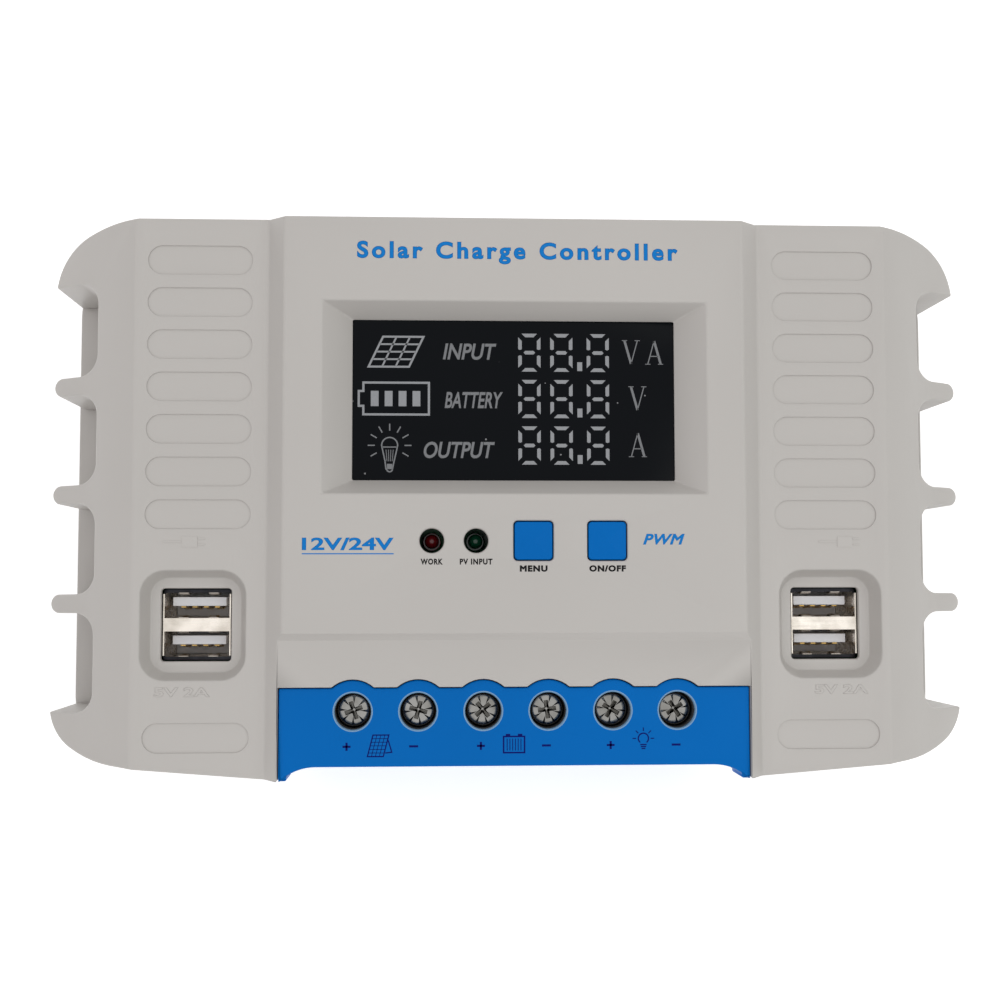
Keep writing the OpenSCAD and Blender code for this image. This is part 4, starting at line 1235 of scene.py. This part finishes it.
class CONTROLLER_OT_electronics(ControllerOperator, bpy.types.Operator):
    """Finishes the boards and everything on them"""

    bl_idname = "controller.electronics"
    bl_label = "Electronics"

    # Node, finished piece, slot, materials and edge rounding
    pieces = (
        ("main_board", "main_board_sheet", "board_laminate", ["board"], 0.1),
        ("display_board", "display_board_sheet", "board_laminate", ["board"], 0.1),
        ("display_module", "display_module_case", "dark_plastic", ["black"], 0.3),
        ("inductor_core", "inductor_core_ring", "core_ferrite", ["core"], 0.9),
        ("fuse_clips", "fuse_clip_springs", "tinned_copper", ["tin"], 0.12),
        ("current_shunts", "current_shunt_links", "tinned_copper", ["tin"], 0.2),
        ("thermal_pads", "thermal_pad_sheets", "thermal_sheet", ["sheet"], 0.05),
    )

    def make(self, detail):
        for node, name, slot, materials, radius in self.pieces:
            softened(node, name, CASE, slot, materials, even(radius))
        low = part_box("transistors")[0] / MM
        self.two_tone("transistors", "transistor_bodies", "dark_plastic", ["black", "tin"],
                      lambda at: at.z < low.z + 1.35 or at.y < low.y + 4.3 or at.z > low.z + 4.6)
        chip = centre("controller_chip")
        self.two_tone("controller_chip", "controller_chip_body", "dark_plastic", ["black", "tin"],
                      lambda at: max(abs(at.x - chip.x), abs(at.y - chip.y)) > 5.05)
        blades = top("blade_fuses") - 8.5
        self.two_tone("blade_fuses", "blade_fuse_bodies", "fuse_plastic", ["fuse", "tin"],
                      lambda at: at.z < blades)
        pins = top("main_board")
        self.two_tone("board_header", "board_header_body", "dark_plastic", ["black", "gold"],
                      lambda at: at.z < pins)
        self.capacitors()
        self.winding()

    def two_tone(self, node, name, slot, materials, is_metal):
        """A node of two materials: a face is metal where is_metal(middle) says so."""
        piece = softened(node, name, CASE, slot, materials, even(0.08))
        for face in piece.data.polygons:
            face.material_index = int(is_metal(Vector(face.center) / MM))

    def capacitors(self):
        """Turned cans with a rolled rim and a pressed vent, in their sleeves."""
        low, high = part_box("capacitors")
        base, head, radius = low.z / MM, high.z / MM, 8.0
        places = [(low.x / MM + radius, low.y / MM + radius), (high.x / MM - radius, high.y / MM - radius),
                  (high.x / MM - radius, high.y / MM - radius - 18)]
        for i, (x, y) in enumerate(places, 1):
            profile = [(0, base), (radius - 0.6, base), (radius, base + 0.6), (radius, base + 1.8),
                       (radius - 0.45, base + 2.3), (radius, base + 2.8), (radius, head - 0.5),
                       (radius - 0.5, head), (radius - 1.3, head), (radius - 1.6, head - 0.5),
                       (0, head - 0.5)]
            piece = spun(profile, f"capacitor_{i}", x, y, ["sleeve", "aluminium"])
            shade(piece, 40)
            for face in piece.data.polygons:
                at = Vector(face.center) / MM
                if at.z > head - 0.7 and math.hypot(at.x - x, at.y - y) < radius - 1.3:
                    face.material_index = 1
            mount(piece, CASE, "capacitor_sleeve", "capacitors")

    def winding(self):
        """Copper wire wound round the ring core."""
        at = centre("inductor_core")
        bm = bmesh.new()
        bm.verts.new((0, 0, 0))
        piece = piece_from(bm, "inductor_wire")
        feed(piece, TREES["winding"], middle=at * MM, material=MATERIALS["copper"])
        settle(piece, 80)
        mount(piece, CASE, "copper_wire", "inductor_winding")


class CONTROLLER_OT_front_print(ControllerOperator, bpy.types.Operator):
    """Prints the title, the generic notes and the names under the lamps and buttons"""

    bl_idname = "controller.front_print"
    bl_label = "Front Print"

    def make(self, detail):
        words("title", "Solar Charge Controller", -32.5, 33.7, 48.85, 3.55, PANEL_TOP, "title",
              "housing_plastic", detail.ink, weight=0.04, spacing=1.3)
        for name, text, node, base, width, cap, weight in (
                ("work_name", "WORK", "work_lamp", -13.95, 4.5, 1.2, 0.045),
                ("input_name", "PV INPUT", "input_lamp", -13.95, 6.65, 1.2, 0.045),
                ("menu_name", "MENU", "menu_button", -15.4, 5.65, 1.28, 0.06),
                ("power_name", "ON/OFF", "power_button", -15.4, 7.5, 1.28, 0.06)):
            x = centre(node).x
            words(name, text, x - width / 2, x + width / 2, base, cap, PANEL_TOP, "lettering",
                  "housing_plastic", detail.ink, weight=weight, spacing=1.18)
        words("voltage_note", "12V/24V", -43.3, -24.8, -11.0, 2.5, PANEL_TOP, "title", "housing_plastic",
              detail.ink, weight=0.03)
        printed("voltage_note_line", [bar(-34.05, -11.75, 18.5, 0.22)], PANEL_TOP, "title", "housing_plastic",
                detail.ink)
        words("control_note", "PWM", 26.0, 34.6, -9.9, 2.2, PANEL_TOP, "title", "housing_plastic", detail.ink,
              weight=0.035, slant=0.3, spacing=1.1)
        self.raised_notes(0.1)

    def raised_notes(self, height):
        """The moulded-in rating and plug sign at each USB well."""
        for side in ("left", "right"):
            at = centre(f"usb_shell_{side}")
            x, y = at.x * 1.03, at.y
            words(f"rating_{side}", "5V 2A", x - 5.6, x + 5.6, y - 14.4, 1.9, WING_TOP, "housing",
                  "housing_plastic", height, weight=0.03)
            plug = [bar(x + 1.2, y + 17, 3.2, 2.2), bar(x + 3.6, y + 17.6, 1.4, 0.35),
                    bar(x + 3.6, y + 16.4, 1.4, 0.35), bar(x - 2.4, y + 17, 3.8, 0.35)]
            printed(f"plug_sign_{side}", plug, WING_TOP, "housing", "housing_plastic", height)


class CONTROLLER_OT_terminal_print(ControllerOperator, bpy.types.Operator):
    """Prints the polarity marks and the three signs on the blue cover"""

    bl_idname = "controller.terminal_print"
    bl_label = "Terminal Print"

    row = -50.6

    def make(self, detail):
        outlines = []
        for x in (-34.2, -7.1, 19.3):
            outlines += [bar(x, self.row, 1.6, 0.42), bar(x, self.row, 0.42, 1.6)]
        outlines += [bar(x, self.row, 1.8, 0.42) for x in (-20.7, 6.2, 32.7)]
        printed("polarity_marks", outlines, COVER_TOP, "cover_marks", "blue_plastic", detail.ink)
        printed("solar_sign", self.solar(), COVER_TOP, "cover_marks", "blue_plastic", detail.ink)
        printed("battery_sign", self.battery(), COVER_TOP, "cover_marks", "blue_plastic", detail.ink)
        printed("load_sign", self.lamp(), COVER_TOP, "cover_marks", "blue_plastic", detail.ink)
        rays = piece_from(flat_mesh([bar(1.85, 0, 0.75, 0.2)], COVER_TOP, detail.ink), "load_sign_rays")
        feed(rays, TREES["rays"], count=5, first=0.0, sweep=math.pi, middle=(26.0 * MM, -49.3 * MM, 0),
             material=MATERIALS["cover_marks"])
        mount(settle(rays), CASE, "blue_plastic")

    def solar(self):
        """A module on its prop."""
        corner = lambda u, v: (-30.0 + 3.2 * u + 1.1 * v, -52.6 + 4.3 * v)
        outlines = ribbon([corner(0, 0), corner(1, 0), corner(1, 1), corner(0, 1)], 0.24, closed=True)
        for i in range(1, 4):
            outlines += ribbon([corner(i / 4, 0.02), corner(i / 4, 0.98)], 0.12)
        for i in range(1, 6):
            outlines += ribbon([corner(0.02, i / 6), corner(0.98, i / 6)], 0.12)
        return outlines + ribbon([corner(1.05, 0.75), (-25.1, -51.75), (-26.4, -51.9)], 0.24)

    def battery(self):
        """A cell with two posts and upright plates."""
        left, right, near, far = -2.5, 1.75, -52.0, -48.75
        outlines = ribbon([(left, near), (right, near), (right, far), (left, far)], 0.3, closed=True)
        outlines += [bar(x, far + 0.32, 0.9, 0.4) for x in (left + 0.9, right - 0.9)]
        outlines += [bar(left + 0.72 + 0.56 * i, (near + far) / 2, 0.16, 2.4) for i in range(6)]
        return outlines

    def lamp(self, x=26.0, y=-49.3):
        """A bulb and its cap."""
        body = arc(x, y, 1.05, -50, 230, 16)
        return ribbon(body, 0.26) + [bar(x, y - 1.25, 1.3, 0.24), bar(x, y - 1.65, 1.1, 0.24),
                                     bar(x, y - 2.05, 0.8, 0.24)]


class CONTROLLER_PT_sidebar(bpy.types.Panel):
    """Lists the controller's settings and steps"""

    bl_idname = "CONTROLLER_PT_sidebar"
    bl_label = "Charge Controller"
    bl_space_type = "VIEW_3D"
    bl_region_type = "UI"
    bl_category = "Controller"

    def draw(self, context):
        for group in (context.scene.controller_colours, context.scene.controller_detail,
                      context.scene.controller_stage):
            box = self.layout.box()
            for key in group.__annotations__:
                box.prop(group, key)
        for step in STEPS:
            self.layout.operator(step.bl_idname)


STEPS = (
    CONTROLLER_OT_stage, CONTROLLER_OT_housing, CONTROLLER_OT_terminal_cover, CONTROLLER_OT_display,
    CONTROLLER_OT_buttons, CONTROLLER_OT_lamps, CONTROLLER_OT_usb_sockets, CONTROLLER_OT_terminals,
    CONTROLLER_OT_fixings, CONTROLLER_OT_heat_sink, CONTROLLER_OT_electronics, CONTROLLER_OT_front_print,
    CONTROLLER_OT_terminal_print,
)
SETTINGS = (ControllerColours, ControllerDetail, ControllerStage)


def register():
    """Registers every class, and hangs the settings on the scene."""
    for item in (*SETTINGS, *STEPS, CONTROLLER_PT_sidebar):
        bpy.utils.register_class(item)
    bpy.types.Scene.controller_colours = bpy.props.PointerProperty(type=ControllerColours)
    bpy.types.Scene.controller_detail = bpy.props.PointerProperty(type=ControllerDetail)
    bpy.types.Scene.controller_stage = bpy.props.PointerProperty(type=ControllerStage)


def unregister():
    """Undoes register."""
    for name in ("controller_colours", "controller_detail", "controller_stage"):
        delattr(bpy.types.Scene, name)
    for item in (CONTROLLER_PT_sidebar, *reversed(STEPS), *reversed(SETTINGS)):
        bpy.utils.unregister_class(item)


def main():
    """Runs every step in order."""
    register()
    for step in STEPS:
        family, action = step.bl_idname.split(".")
        getattr(getattr(bpy.ops, family), action)()
    {"cad": [list(corner) for corner in CAD_BOX], "visual": [list(c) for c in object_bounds()]}


if __name__ == "__main__":
    main()
